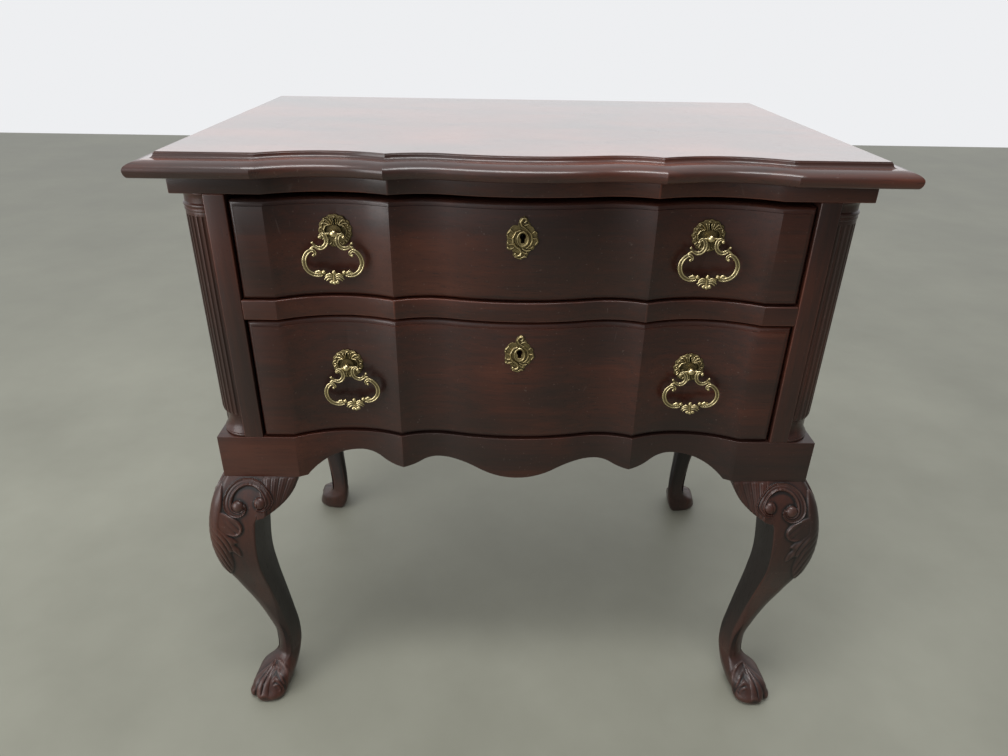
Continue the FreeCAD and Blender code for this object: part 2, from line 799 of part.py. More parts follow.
# A pull's bail hangs from its pins at the origin: a scroll each side, a wide loop and a bud below.
scroll_low = "(-2 * bail_scroll_radius)"
loop_low = "(-2 * bail_scroll_radius - 2 * bail_loop_radius)"
half_path = [
    ("bail_scroll_place", "0"),
    ("bail_scroll_place - bail_scroll_radius", "-bail_scroll_radius", "bail_scroll_radius", right),
    ("bail_scroll_place", scroll_low, "bail_scroll_radius", right),
    ("bail_loop_place", scroll_low),
    ("bail_loop_place + bail_loop_radius", f"{scroll_low} - bail_loop_radius", "bail_loop_radius", left),
    ("bail_loop_place", loop_low, "bail_loop_radius", left),
]
path_points = half_path + [("-bail_loop_place", loop_low)]
path_points += [
    ("-(bail_loop_place + bail_loop_radius)", f"{scroll_low} - bail_loop_radius", "bail_loop_radius", left),
    ("-bail_loop_place", scroll_low, "bail_loop_radius", left),
    ("-bail_scroll_place", scroll_low),
    ("-(bail_scroll_place - bail_scroll_radius)", "-bail_scroll_radius", "bail_scroll_radius", right),
    ("-bail_scroll_place", "0", "bail_scroll_radius", right),
]
bail_path = doc.addObject("Sketcher::SketchObject", "bail_path")
bail_path.Placement = FreeCAD.Placement(FreeCAD.Vector(), FreeCAD.Rotation(FreeCAD.Vector(1, 0, 0), 90))
draw(bail_path, path_points[0], path_points[1:], closed=False)
bail_section = doc.addObject("Part::Circle", "bail_section")
bail_section.Placement = FreeCAD.Placement(FreeCAD.Vector(), turns["x"])
bind(bail_section, "Radius", "bail_wire_radius")
put(bail_section, ("bail_scroll_place", "0", "0"))
bail_wire = doc.addObject("Part::Sweep", "bail_wire")
bail_wire.Sections = [bail_section]
bail_wire.Spine = (bail_path, [f"Edge{index + 1}" for index in range(len(path_points) - 1)])
bail_wire.Solid = True
curl_place = "(bail_scroll_place + pin_radius / 2)"
pins = [
    rod("bail_pin", "x", (start, "0", "0"), f"{curl_place} - pin_end", "pin_radius")
    for start in ("pin_end", f"-{curl_place}")
]
bud = ball("bail_bud", ("0", "0", f"{loop_low} - bail_bud_drop"), "bail_bud_radius")
curls = [
    ball("bail_curl", (f"{sign} * {curl_place}", "0", "0"), "bail_wire_radius + pin_radius / 2")
    for sign in (1, -1)
]
bail = joined("bail", [bail_wire, bud] + pins + curls)

# An escutcheon: a lobed plate round the keyhole. Its points are shares of half its width and height.
crest_shares = [
    (0.00, 1.00),
    (0.30, 0.72),
    (0.70, 0.52),
    (0.88, 0.06),
    (0.74, -0.42),
    (0.38, -0.72),
    (0.00, -1.00),
]
crest_points = crest_shares + [(-across, level) for across, level in reversed(crest_shares[:-1])]
crest_bend_share = 0.62
crest_steps = []
for before, after in zip(crest_points, crest_points[1:]):
    run = f"({after[0] - before[0]} * escutcheon_width / 2)"
    rise = f"({after[1] - before[1]} * escutcheon_height / 2)"
    bend = f"{crest_bend_share} * sqrt({run} ^ 2 + {rise} ^ 2)"
    point = (f"escutcheon_width / 2 * {after[0]}", f"escutcheon_height / 2 * {after[1]}")
    crest_steps.append((*point, bend, left))
escutcheon_blank = pad(
    doc.addObject("PartDesign::Body", "escutcheon_blank"),
    "XZ_Plane",
    (("0", "escutcheon_height / 2"), crest_steps),
    "escutcheon_thickness",
)

lock_screw_share = 0.37


def build_drawer(name, floor, front_top, pull_drop):
    """One drawer with its box, lock, escutcheon and pulls, in its opening."""
    low = f"{floor} + drawer_bottom_gap"
    height = f"{front_top} - ({low})"
    side_top = f"{front_top} - drawer_side_drop"
    pull_level = f"{front_top} - {pull_drop}"
    key_level = f"{front_top} - key_drop"

    # The front is a thick board whose raised field leaves a thumbnail edge all round.
    front = doc.addObject("PartDesign::Body", f"{name}_front_blank")
    pad(front, "XY_Plane", front_outline("case_front + edge_step", "drawer_half", "front_back"), height)
    field = front_outline("case_front", "drawer_half - edge_margin", "front_back")
    pad(front, "XY_Plane", field, f"{height} - 2 * edge_margin", "edge_margin")
    bind(front, "Placement.Base.z", low)

    # The bottom lies in grooves of the front and the sides, and passes under the back.
    bottom_low = f"{floor} + drawer_bottom_lift"
    bottom = keep(f"{name}_drawer_bottom", board(
        f"{name}_drawer_bottom",
        ("-box_inner - groove_depth", "front_back - groove_depth", bottom_low),
        ("box_inner + groove_depth", "drawer_end", f"{bottom_low} + drawer_bottom_thickness"),
    ))
    side = board(
        f"{name}_side_blank",
        ("box_inner", "front_back", floor),
        ("box_half", "drawer_end", side_top),
    )
    side_right = keep(f"{name}_drawer_right_side", cut(f"{name}_drawer_right_side", side, [bottom]))
    keep(f"{name}_drawer_left_side", mirrored(f"{name}_drawer_left_side", side_right))
    keep(f"{name}_drawer_back", board(
        f"{name}_drawer_back",
        ("-box_inner", "drawer_end - drawer_side_thickness", f"{bottom_low} + drawer_bottom_thickness"),
        ("box_inner", "drawer_end", f"{side_top} - drawer_back_drop"),
    ))

    # The lock is let into the front's back, and its bolt slides up out of the front's top edge.
    lock_block = board(
        f"{name}_lock_block",
        ("-lock_width / 2", "lock_front", f"{front_top} - lock_height"),
        ("lock_width / 2", "front_back", front_top),
    )
    keep(f"{name}_lock_bolt", bolt_box(f"{name}_lock_bolt", front_top, "0", "0"))
    channel = bolt_box(f"{name}_channel", front_top, "slide_gap", "overrun")
    key_low = ("0", "case_front - escutcheon_thickness - overrun", key_level)
    key_length = "lock_front - case_front + escutcheon_thickness + overrun"
    key_round = rod(f"{name}_key_round", "y", key_low, key_length, "key_radius")
    key_slot = board(
        f"{name}_key_slot",
        ("-key_slot_width / 2", key_low[1], f"{key_level} - key_slot_drop"),
        ("key_slot_width / 2", "lock_front", key_level),
    )
    lock_screws = [
        rod(
            f"{name}_lock_screw",
            "y",
            (
                f"{sign} * lock_width * {lock_screw_share}",
                "lock_front - lock_screw_bite",
                f"{front_top} - lock_height / 2",
            ),
            "lock_thickness + lock_screw_bite",
            "lock_screw_radius",
        )
        for sign in (1, -1)
    ]
    keep(f"{name}_lock_case", cut(f"{name}_lock_case", lock_block, [channel] + lock_screws))
    escutcheon_place = ("0", "case_front + swell_crown", key_level)
    escutcheon = copy_at(f"{name}_escutcheon_blank", escutcheon_blank, escutcheon_place)
    keep(f"{name}_escutcheon", cut(f"{name}_escutcheon", escutcheon, [key_round, key_slot]))

    # Two pulls, each bolted through the front in a lobe's deepest place.
    spots = {"left": "-lobe_place", "right": "lobe_place"}
    seats = {side: (across, "plate_seat", pull_level) for side, across in spots.items()}
    plates = [copy_at(f"{name}_{side}_plate", plate, seat) for side, seat in seats.items()]
    posts = [copy_at(f"{name}_{side}_post", post, seat) for side, seat in seats.items()]
    nuts = [copy_at(f"{name}_{side}_nut", nut, seat) for side, seat in seats.items()]
    holes = [copy_at(f"{name}_{side}_hole", nut_hole, seat) for side, seat in seats.items()]
    for side, (across, seat, level) in seats.items():
        keep(f"{name}_{side}_bail", copy_at(f"{name}_{side}_bail", bail, (across, "pivot_place", level)))
    keep(f"{name}_pull_plates", group(f"{name}_pull_plates", plates))
    keep(f"{name}_pull_posts", group(f"{name}_pull_posts", posts))
    keep(f"{name}_drawer_fasteners", group(f"{name}_drawer_fasteners", nuts + lock_screws))
    taken_out = [bottom, lock_block, key_round, key_slot] + lock_screws + holes
    keep(f"{name}_drawer_front", cut(f"{name}_drawer_front", front, taken_out))


for name, (floor, front_top, pull_drop) in drawers.items():
    build_drawer(name, floor, front_top, pull_drop)

doc.recompute()

failed = [item.Label for item in doc.Objects if "Invalid" in item.State or "Error" in item.State]
if failed:
    raise RuntimeError(f"failed to compute: {failed}")
for label, item in nodes.items():
    if item.Shape.isNull() or not item.Shape.isValid() or not item.Shape.Solids:
        raise RuntimeError(f"not a valid solid: {label}")

os.makedirs("parts", exist_ok=True)
for label, item in nodes.items():
    item.Shape.exportStep(f"parts/{label}.step")
print(f"{len(nodes)} sub-parts written")
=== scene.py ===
import math

import bpy
import numpy as np
from mathutils import Matrix, Vector


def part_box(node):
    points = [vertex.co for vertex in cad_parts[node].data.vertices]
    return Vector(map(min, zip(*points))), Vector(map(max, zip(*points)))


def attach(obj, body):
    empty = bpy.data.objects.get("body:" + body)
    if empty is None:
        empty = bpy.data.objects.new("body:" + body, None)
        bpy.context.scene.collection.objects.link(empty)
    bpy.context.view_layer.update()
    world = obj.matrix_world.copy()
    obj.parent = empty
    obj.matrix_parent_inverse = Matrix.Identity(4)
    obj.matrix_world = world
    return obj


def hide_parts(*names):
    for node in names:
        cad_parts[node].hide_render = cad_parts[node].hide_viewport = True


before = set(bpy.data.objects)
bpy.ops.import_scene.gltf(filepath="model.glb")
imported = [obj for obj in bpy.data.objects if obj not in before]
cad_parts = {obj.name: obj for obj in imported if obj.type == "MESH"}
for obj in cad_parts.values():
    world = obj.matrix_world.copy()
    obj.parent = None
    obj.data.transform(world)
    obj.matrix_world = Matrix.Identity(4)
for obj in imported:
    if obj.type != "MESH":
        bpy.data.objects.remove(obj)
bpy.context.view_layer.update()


# Case boards: ends, rails, stiles, posts and base rails of solid mahogany, glued up and polished.
# Their arrises were taken off by hand, and years of rubbing have worn the edges paler.
class Tone:
    """A value in a material's nodes. Arithmetic on it adds Math nodes."""

    def __init__(self, tree, socket):
        self.tree = tree
        self.socket = socket

    def node(self, kind, settings, sockets, out=0):
        made = self.tree.nodes.new(kind)
        for key, setting in settings.items():
            if key == "stops":
                ends = made.color_ramp.elements
                for end, (place, colour) in zip((ends[0], ends[1]), (setting[0], setting[-1])):
                    end.position = place
                    end.color = (*colour, 1.0)
                for place, colour in setting[1:-1]:
                    ends.new(place).color = (*colour, 1.0)
            else:
                setattr(made, key, setting)
        for key, given in sockets.items():
            if isinstance(given, Tone):
                self.tree.links.new(given.socket, made.inputs[key])
            else:
                made.inputs[key].default_value = given
        return Tone(self.tree, made.outputs[out])

    def maths(self, operation, first, second):
        return self.node("ShaderNodeMath", {"operation": operation}, {0: first, 1: second})

    def __add__(self, other):
        return self.maths("ADD", self, other)

    def __radd__(self, other):
        return self.maths("ADD", other, self)

    def __sub__(self, other):
        return self.maths("SUBTRACT", self, other)

    def __rsub__(self, other):
        return self.maths("SUBTRACT", other, self)

    def __mul__(self, other):
        return self.maths("MULTIPLY", self, other)

    def __rmul__(self, other):
        return self.maths("MULTIPLY", other, self)


def start_finish(name):
    """A new material: its tree, its shader and the place on the object."""
    finish = bpy.data.materials.new(name)
    finish.use_nodes = True
    tree = finish.node_tree
    place = Tone(tree, tree.nodes.new("ShaderNodeTexCoord").outputs["Object"])
    return finish, tree.nodes["Principled BSDF"], place


def join_up(tone, shader, socket):
    tone.tree.links.new(tone.socket, shader.inputs[socket])


def blend(share, first, second):
    """Two colours mixed, by a share that is a Tone."""
    return share.node("ShaderNodeMix", {"data_type": "RGBA"}, {0: share, 6: first, 7: second}, out=2)


def band(tone, low, high):
    """0 below low, 1 above high, and a soft step between."""
    sockets = {"Value": tone, "From Min": low, "From Max": high}
    return tone.node("ShaderNodeMapRange", {"interpolation_type": "SMOOTHSTEP"}, sockets)


def ramp(tone, stops, light=1.0):
    """Colours laid along a tone, all made lighter by one factor."""
    stops = [(at, tuple(part * light for part in colour)) for at, colour in stops]
    return tone.node("ShaderNodeValToRGB", {"stops": stops}, {"Fac": tone})


def noise(where, scale, detail, roughness=0.5, warp=0.0):
    """Cloudy noise read at a place."""
    return where.node("ShaderNodeTexNoise", {}, {
        "Vector": where, "Scale": scale, "Detail": detail, "Roughness": roughness, "Distortion": warp,
    })


def along_grain(place, grain, share):
    """The place on the object, cut to a share along the grain so that patterns run long there."""
    scale = [share if axis == grain else 1.0 for axis in "xyz"]
    return place.node("ShaderNodeMapping", {}, {"Vector": place, "Scale": scale})


def worn_high(place):
    """The relief stored with a piece: low in grooves and where shade is painted in, high on worn ridges."""
    return place.node("ShaderNodeAttribute", {"attribute_name": "relief"}, {}, out="Fac")


def raise_bumps(shader, height, strength, distance):
    """Small unevenness in a surface, from a height that is a Tone."""
    sockets = {"Strength": strength, "Distance": distance, "Height": height}
    join_up(height.node("ShaderNodeBump", {}, sockets), shader, "Normal")


def mahogany(name, grain, glow=1.0, gloss=0.10, carved=False):
    """Dark red-brown mahogany under an old polish, with its grain along one axis."""
    finish, shader, place = start_finish(name)
    along = along_grain(place, grain, 0.045)
    figure = noise(along, 26.0, 4.0, 0.58, 0.6)
    lines = noise(along, 230.0, 3.0, 0.55, 0.2)
    pores = band(noise(along, 900.0, 1.0), 0.60, 0.72)
    patches = noise(along_grain(place, grain, 0.5225), 9.0, 2.0, 0.5, 0.4)
    depth = figure * 0.30 + lines * 0.20 + patches * 0.50
    wood = ramp(depth, [
        (0.34, (0.0190, 0.0105, 0.0088)),
        (0.46, (0.0330, 0.0132, 0.0098)),
        (0.55, (0.0540, 0.0165, 0.0102)),
        (0.68, (0.0820, 0.0250, 0.0140)),
    ], glow)
    wood = blend(pores * 0.45, wood, (0.007, 0.0042, 0.0036, 1.0))
    smoke = band(noise(place, 5.0, 3.0), 0.46, 0.68)
    wood = blend(smoke * (0.45 * (1.0 - 0.8 * gloss)), wood, (0.0190, 0.0125, 0.0105, 1.0))
    tilted = place.node("ShaderNodeMapping", {}, {
        "Vector": place, "Rotation": (0.5, 0.7, 0.3), "Scale": (1.0, 1.0, 0.35),
    })
    sockets = {"Vector": tilted, "Scale": 26.0}
    cells = place.node("ShaderNodeTexVoronoi", {"feature": "DISTANCE_TO_EDGE"}, sockets)
    scratch = (1 - band(cells, 0.004, 0.014)) * band(noise(place, 30.0, 2.0), 0.67, 0.72)
    specks = band(noise(place, 420.0, 0.0), 0.80, 0.84)
    wood = blend(scratch * 0.10 + specks * 0.22, wood, (0.20, 0.15, 0.13, 1.0))
    uneven = 0.15 * (1.0 - 0.85 * gloss)
    rough = 0.24 + noise(place, 34.0, 4.0, 0.6) * uneven + pores * uneven + scratch * 0.12
    height = lines * 0.35 - pores * 0.7 - scratch * 0.5 + noise(along, 60.0, 3.0) * 0.25
    if carved:
        # Darker where the stored relief is low, in the grooves and, as painted shade, on the legs' inward
        # faces; lighter on worn ridges.
        relief = worn_high(place)
        wood = blend(1 - band(relief, 0.02, 0.50), wood, (0.0060, 0.0040, 0.0036, 1.0))
        wood = blend(band(relief, 0.55, 1.0) * 0.30, wood, (0.105, 0.052, 0.040, 1.0))
        rough = rough + (1 - relief) * 0.16
    join_up(wood, shader, "Base Color")
    join_up(rough, shader, "Roughness")
    raise_bumps(shader, height, 0.12, 0.0005)
    shader.inputs["Specular IOR Level"].default_value = 0.42
    shader.inputs["Coat Weight"].default_value = gloss
    shader.inputs["Coat Roughness"].default_value = 0.14
    return finish


polished = {grain: mahogany("mahogany_" + grain, grain) for grain in "xyz"}
rubbed = {grain: mahogany("mahogany_rubbed_" + grain, grain, glow=1.8) for grain in "xyz"}


def pick(*pieces):
    """Selects these pieces alone, with the first of them active."""
    bpy.ops.object.select_all(action="DESELECT")
    for piece in pieces:
        piece.select_set(True)
    bpy.context.view_layer.objects.active = pieces[0]


def edit_all(piece, *steps):
    """Goes through the steps on all of one piece in edit mode, and comes back out."""
    pick(piece)
    bpy.ops.object.mode_set(mode="EDIT")
    for step, settings in steps:
        bpy.ops.mesh.select_all(action="SELECT")
        step(**settings)
    bpy.ops.object.mode_set(mode="OBJECT")


def lay_on(piece, finishes):
    """Gives a piece its finishes, in place of any that it has."""
    piece.data.materials.clear()
    for finish in finishes:
        piece.data.materials.append(finish)


def fit(piece, body, node, smooth):
    """Gives a piece its soft shading and its body, and hides the solid that it stands for."""
    pick(piece)
    bpy.ops.object.shade_smooth_by_angle(angle=math.radians(smooth))
    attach(piece, body)
    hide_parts(node)


def round_edges(piece, **settings):
    """Bevels a piece's edges for good, with the settings given."""
    bevel = piece.modifiers.new("rounding", "BEVEL")
    for key, setting in settings.items():
        setattr(bevel, key, setting)
    bpy.ops.object.modifier_apply(modifier=bevel.name)


def eased(node, body, finishes, round_off, lip=None):
    """A copy of a solid with its sharp edges rubbed round, and the rubbed edges in the last finish."""
    piece = bpy.data.objects.new(node + "_eased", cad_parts[node].data.copy())
    bpy.context.scene.collection.objects.link(piece)
    edit_all(
        piece,
        (bpy.ops.mesh.customdata_custom_splitnormals_clear, {}),
        (bpy.ops.mesh.remove_doubles, {"threshold": 0.00001}),
        (bpy.ops.mesh.dissolve_limited, {"angle_limit": math.radians(0.4)}),
    )
    lay_on(piece, finishes)
    if lip:
        lip(piece)
    round_edges(
        piece, width=round_off, segments=4, limit_method="ANGLE",
        angle_limit=math.radians(40), material=len(finishes) - 1,
    )
    fit(piece, body, node, smooth=26.0)


for node, grain in (
    ("frieze_front", "x"), ("frieze_left", "y"), ("frieze_right", "y"), ("divider_rail", "x"),
    ("end_panel_left", "z"), ("end_panel_right", "z"), ("stile_left", "z"), ("stile_right", "z"),
    ("rear_posts", "z"),
    ("base_front", "x"), ("base_left", "y"), ("base_right", "y"), ("base_back", "x"),
):
    eased(node, "case", [polished[grain], rubbed[grain]], 0.0012)


# Quarter columns: turned mahogany with stopped flutes, let into the front corners.
# Each stands between a turned base and a turned capital, all glued to the stile and the end.
for node in ("column_left", "column_right", "column_bases", "column_capitals"):
    eased(node, "case", [polished["z"], rubbed["z"]], 0.0003)


# Top: one wide mahogany board, shaped to the front below it and screwed down from inside.
# The edge is moulded with a swelling nose that runs up into a small cove and a fine step.
def stretched_grid(name, rows):
    """A grid whose crossings are moved to rows of places, in millimetres."""
    rows = np.asarray(rows, dtype=float)
    bpy.ops.object.select_all(action="DESELECT")
    bpy.ops.mesh.primitive_grid_add(
        x_subdivisions=rows.shape[1] - 1, y_subdivisions=rows.shape[0] - 1, size=1.0
    )
    piece = bpy.context.object
    piece.name = name
    piece.data.vertices.foreach_set("co", (rows * 0.001).ravel())
    piece.data.update()
    return piece


def close_up(piece):
    """Merges a grid's meeting edges, caps its open ends and turns its faces outwards."""
    edit_all(piece, (bpy.ops.mesh.remove_doubles, {"threshold": 0.00001}))
    edit_all(
        piece,
        (bpy.ops.mesh.fill_holes, {"sides": 0}),
        (bpy.ops.mesh.normals_make_consistent, {"inside": False}),
    )


half_width, half_depth = 358.3, 226.65
swell_end, hollow_end, lobe_end = 77.5, 138.7, 266.2
lobe_place = 197.32


def front_line(across):
    """How far the shaped front lies behind the front plane: lobes, cusps, hollows and a swelling centre."""
    lobe_radius, hollow_radius, swell_radius = 145.85, 99.0, 341.9
    across = np.abs(across)
    lobe = 17.3 - lobe_radius + np.sqrt(np.maximum(lobe_radius**2 - (across - lobe_place) ** 2, 0))
    hollow = -86.1 + np.sqrt(np.maximum(hollow_radius**2 - (across - 99.8) ** 2, 0))
    swell = 1.5 + swell_radius - np.sqrt(swell_radius**2 - np.minimum(across, 300.0) ** 2)
    line = np.where(across < lobe_end, lobe, 0.0)
    line = np.where(across < hollow_end, hollow, line)
    return np.where(across < swell_end, swell, line)


underside, top_back = 740.0, 235.5
end_overhang, front_overhang = 29.2, 25.5
quarter = np.linspace(0.0, math.pi / 2, 14)
top_edge = [(7.5 - 7.5 * math.cos(a), 3.9 - 3.9 * math.sin(a)) for a in quarter]
top_edge += [(7.5 + 8.5 * math.sin(a), 17.2 - 17.2 * math.cos(a)) for a in quarter[1:]]
top_edge += [(20.4 - 4.3 * math.cos(a), 18.9 + 4.1 * math.sin(a)) for a in quarter]
top_edge += [(20.6, 23.05), (20.75, 23.2), (20.8, 23.6), (20.95, 23.8)]
top_edge += [(21.5, 23.9), (21.85, 24.15), (22.0, 24.6)]
turns = [0.0, swell_end, hollow_end, lobe_end]
half_front = np.concatenate([np.linspace(a, b, 24, endpoint=False) for a, b in zip(turns, turns[1:])])
top_rows = []
for height, inset in top_edge:
    reach = half_width + end_overhang - inset
    front = -half_depth - front_overhang + inset
    right = np.concatenate([half_front, np.linspace(lobe_end, reach, 16)])
    across = np.concatenate([-right[::-1], right[1:]])
    edge = [(x, front + y) for x, y in zip(across, front_line(across))]
    sides = np.linspace(front, top_back, 24)[1:]
    edge += [(reach, y) for y in sides]
    edge += [(x, top_back) for x in np.linspace(reach, -reach, 30)[1:-1]]
    edge += [(-reach, y) for y in sides[::-1]] + [edge[0]]
    top_rows.append([(x, y, underside + height) for x, y in edge])
top = stretched_grid("top", top_rows)
close_up(top)
moulded = mahogany("mahogany_moulded", "x", glow=1.4, gloss=0.35)
# The level top is waxed to a gloss, and its colour is far lighter than the rest: painted sheen for its
# low-angle reflection.
waxed_painted_sheen = mahogany("mahogany_waxed", "x", glow=3.4, gloss=1.0)
lay_on(top, [moulded, waxed_painted_sheen])
fit(top, "case", "top_board", smooth=22.0)
# Level faces take the lighter finish with the painted sheen; the moulded edge takes the other.
for face in top.data.polygons:
    level_face = face.normal.z > 0.99
    face.material_index = int(level_face)
    face.use_smooth = not level_face


# Legs: cabriole legs sawn from mahogany and carved, glued and dowelled up under the base.
# The front knees carry a C-scroll with two bosses over an acanthus leaf, and all four stand on paws.
def read_through(at, places, values):
    """A smooth line through values at given places, read at other places."""
    slopes = np.gradient(values, places)
    cell = np.clip(np.searchsorted(places, at) - 1, 0, len(places) - 2)
    width = places[cell + 1] - places[cell]
    t = (at - places[cell]) / width
    start = (1 + 2 * t) * (1 - t) ** 2 * values[cell] + t * (1 - t) ** 2 * width * slopes[cell]
    return start + t**2 * (3 - 2 * t) * values[cell + 1] + t**2 * (t - 1) * width * slopes[cell + 1]


def soft_step(at, low, high):
    """0 below low, 1 above high, and a soft step between, for plain numbers."""
    t = np.clip((at - low) / (high - low), 0.0, 1.0)
    return t * t * (3 - 2 * t)


def dome(share):
    """A round swelling's height, by the distance from its middle as a share of its reach."""
    return np.sqrt(np.maximum(1 - share**2, 0))


def bell(at, middle, wide):
    """A soft swelling of height 1 round a middle."""
    return np.exp(-(((at - middle) / wide) ** 2))


hands = {"left": -1, "right": 1}
leg_top, toe_reach = 375.0, 28.3

# Each row: the level, the reach outwards and inwards, how much longer the paw is, the corner's radius.
leg_form = np.array([
    (-7.5, 2.4, 26.9, 2.4, 20.2),
    (5.2, 16.2, 34.6, 10.6, 20.2),
    (16.1, 15.8, 39.4, 9.6, 19.2),
    (28.1, 10.1, 42.6, 5.4, 19.2),
    (37.5, -5.3, 44.6, 2.4, 20.2),
    (46.9, -14.9, 46.1, 0.6, 21.1),
    (56.3, -16.6, 47.3, 0.0, 21.6),
    (69.4, -16.9, 48.0, 0.0, 21.6),
    (86.3, -16.1, 48.0, 0.0, 21.6),
    (118.1, -11.0, 45.3, 0.0, 20.2),
    (157.5, -3.0, 41.4, 0.0, 18.2),
    (204.0, 9.0, 36.6, 0.0, 15.8),
    (250.1, 21.1, 33.9, 0.0, 14.4),
    (281.3, 24.6, 35.5, 0.0, 13.9),
    (307.5, 24.0, 37.9, 0.0, 13.4),
    (333.0, 19.9, 40.8, 0.0, 12.5),
    (349.9, 14.6, 43.2, 0.0, 10.6),
    (363.8, 7.4, 45.6, 0.0, 8.2),
    (leg_top, 0.0, 48.0, 0.0, 5.8),
])


def leg_at(levels):
    """How far out, in and forward a leg reaches at each level, and how round its outer corner is."""
    return [read_through(levels, leg_form[:, 0], leg_form[:, column]) for column in (1, 2, 3, 4)]


def rounded_ring(corners, radii, runs, bends):
    """A closed line round corners, each rounded, with set numbers of places on each run and bend."""
    corners = np.asarray(corners, dtype=float)
    count = len(corners)
    starts, ends, arcs = [], [], []
    for index in range(count):
        here, before, after = corners[index], corners[index - 1], corners[(index + 1) % count]
        come = (here - before) / np.linalg.norm(here - before)
        go = (after - here) / np.linalg.norm(after - here)
        turn = math.atan2(come[0] * go[1] - come[1] * go[0], float(come @ go))
        reach = radii[index] * math.tan(abs(turn) / 2)
        start = here - come * reach
        aside = np.array((-come[1], come[0])) * math.copysign(radii[index], turn)
        middle = start + aside
        swing = np.linspace(0, turn, bends[index] + 1)
        cos, sin = np.cos(swing), np.sin(swing)
        right, up = start - middle
        arcs.append(middle + np.stack([cos * right - sin * up, sin * right + cos * up], 1))
        starts.append(start)
        ends.append(here + go * reach)
    ring = []
    for index in range(count):
        following = (index + 1) % count
        t = np.linspace(0, 1, runs[index] + 1)[1:-1, None]
        ring += [arcs[index], ends[index] * (1 - t) + starts[following] * t]
    ring = np.concatenate(ring)
    return np.concatenate([ring, ring[:1]])


def leg_section(level, out, into, forward, corner, runs, bends):
    """A leg's outline at one level, in millimetres out to the side and out to the front."""
    south = out + forward
    square = float(soft_step(level, 318.0, 332.0))
    crisp = float(soft_step(level, 110.0, 200.0))
    arris = into * (0.80 + 0.11 * crisp + 0.09 * square)
    middle = (out - into) * 0.62 * (1 - square) + (out - 3) * square
    edge = (9.0 * (1 - crisp) + 2.2 * crisp) * (1 - square) + 0.8 * square
    foot = float(soft_step(46.0 - level, 0.0, 26.0))
    edge += 10.0 * foot
    taper = 5.0 * foot
    fall = south - taper - middle
    turn = max(math.atan2(into - arris, fall), 0.01)
    bend = 0.42 * min(math.hypot(into - arris, fall), into + middle) / math.tan(turn / 2)
    corners = [
        (-arris, south - taper), (out, south), (out - taper, -arris),
        (middle, -into), (-into, -into), (-into, middle),
    ]
    radii = [edge, corner, edge, bend, 6.0, bend]
    return rounded_ring(corners, radii, runs, bends)


def from_run(across, level, start, run):
    """Where on a straight run a place lies nearest, from 0 to 1, and how far off it lies."""
    right, up = across - start[0], level - start[1]
    t = np.clip((right * run[0] + up * run[1]) / (run @ run), 0, 1)
    return t, right - t * run[0], up - t * run[1]


def stroke(across, level, path, widths):
    """Distance from a carved line, as a share of its half width, with its side as a sign."""
    best = np.full(across.shape, 99.0)
    path = np.asarray(path, dtype=float)
    for a, b, wide_a, wide_b in zip(path, path[1:], widths, widths[1:]):
        run = b - a
        t, right, up = from_run(across, level, a, run)
        side = np.where(run[0] * up < run[1] * right, -1, 1)
        share = side * np.hypot(right, up) / (wide_a + t * (wide_b - wide_a))
        best = np.where(np.abs(share) < np.abs(best), share, best)
    return best


def inside_depth(across, level, outline):
    """How deep a place lies inside a closed outline, and less than zero outside it."""
    inside = np.zeros(across.shape, bool)
    nearest = np.full(across.shape, 1e9)
    for a, b in zip(outline, np.roll(outline, -1, axis=0)):
        run = b - a
        _, right, up = from_run(across, level, a, run)
        nearest = np.minimum(nearest, np.hypot(right, up))
        crosses = (a[1] > level) != (b[1] > level)
        at = a[0] + (level - a[1]) * run[0] / (run[1] if run[1] else 1e-9)
        inside ^= crosses & (across < at)
    return np.where(inside, nearest, -nearest)


def swung(middle, start, end, first, last, count):
    """Places on a curl round a middle, from one angle and radius to another, in degrees."""
    angles = np.radians(np.linspace(start, end, count))
    radii = np.linspace(first, last, count)
    return np.stack([middle[0] + radii * np.cos(angles), middle[1] + radii * np.sin(angles)], 1)


bosses = [(-17.0, 342.2), (-44.0, 346.2)]
scroll_path = np.concatenate([
    swung(bosses[0], -190, 0, 8.0, 12.2, 26),
    swung((-29.5, 344.5), 4, 176, 24.7, 25.2, 40),
    swung(bosses[1], 180, 292, 10.9, 9.2, 18),
])
scroll_widths = np.concatenate([
    np.linspace(1.2, 5.9, 26), np.linspace(5.9, 4.0, 20),
    np.linspace(4.0, 4.8, 20), np.linspace(4.8, 1.4, 18),
])


def rounded_off(outline):
    """An outline with its corners cut twice, so that it runs round in soft bends."""
    outline = np.asarray(outline, dtype=float)
    for _ in range(2):
        following = np.roll(outline, -1, axis=0)
        pairs = [0.75 * outline + 0.25 * following, 0.25 * outline + 0.75 * following]
        outline = np.stack(pairs, 1).reshape(-1, 2)
    return outline


leaf_outline = rounded_off([
    (40, 376), (1, 376), (1, 346), (4, 334), (7, 322), (7.8, 313.4), (0, 306), (-7.7, 299.2),
    (-13.6, 290.5), (-8.5, 289.5), (-8.5, 287), (-13, 281), (-14.5, 268), (-10, 267.5), (-6, 272.5),
    (-1.2, 277), (-0.8, 270), (-2, 262), (-0.5, 250), (3, 239), (8.6, 229), (13, 236), (40, 258),
])
lobe_outline = rounded_off([
    (12, 338), (-8, 330.5), (-17.5, 323), (-21.5, 313.5), (-18, 304), (-8, 300), (8, 306), (15, 320),
])


def scroll_height(across, level):
    """The carved height of the C-scroll and its bosses over the knee's own surface."""
    share = stroke(across, level, scroll_path, scroll_widths)
    edge = 1 - soft_step(np.abs(share), 0.88, 1.06)
    rims = 0.9 * bell(share, -0.84, 0.13) + 1.5 * bell(share, 0.64, 0.22)
    hollow = 0.6 * bell(share, -0.52, 0.14) + 0.5 * bell(share, 0.22, 0.16)
    height = edge * (1.7 + rims - hollow)
    for middle in bosses:
        off = np.hypot(across - middle[0], level - middle[1]) / 7.3
        height = np.maximum(height, 5.6 * dome(off))
    return height


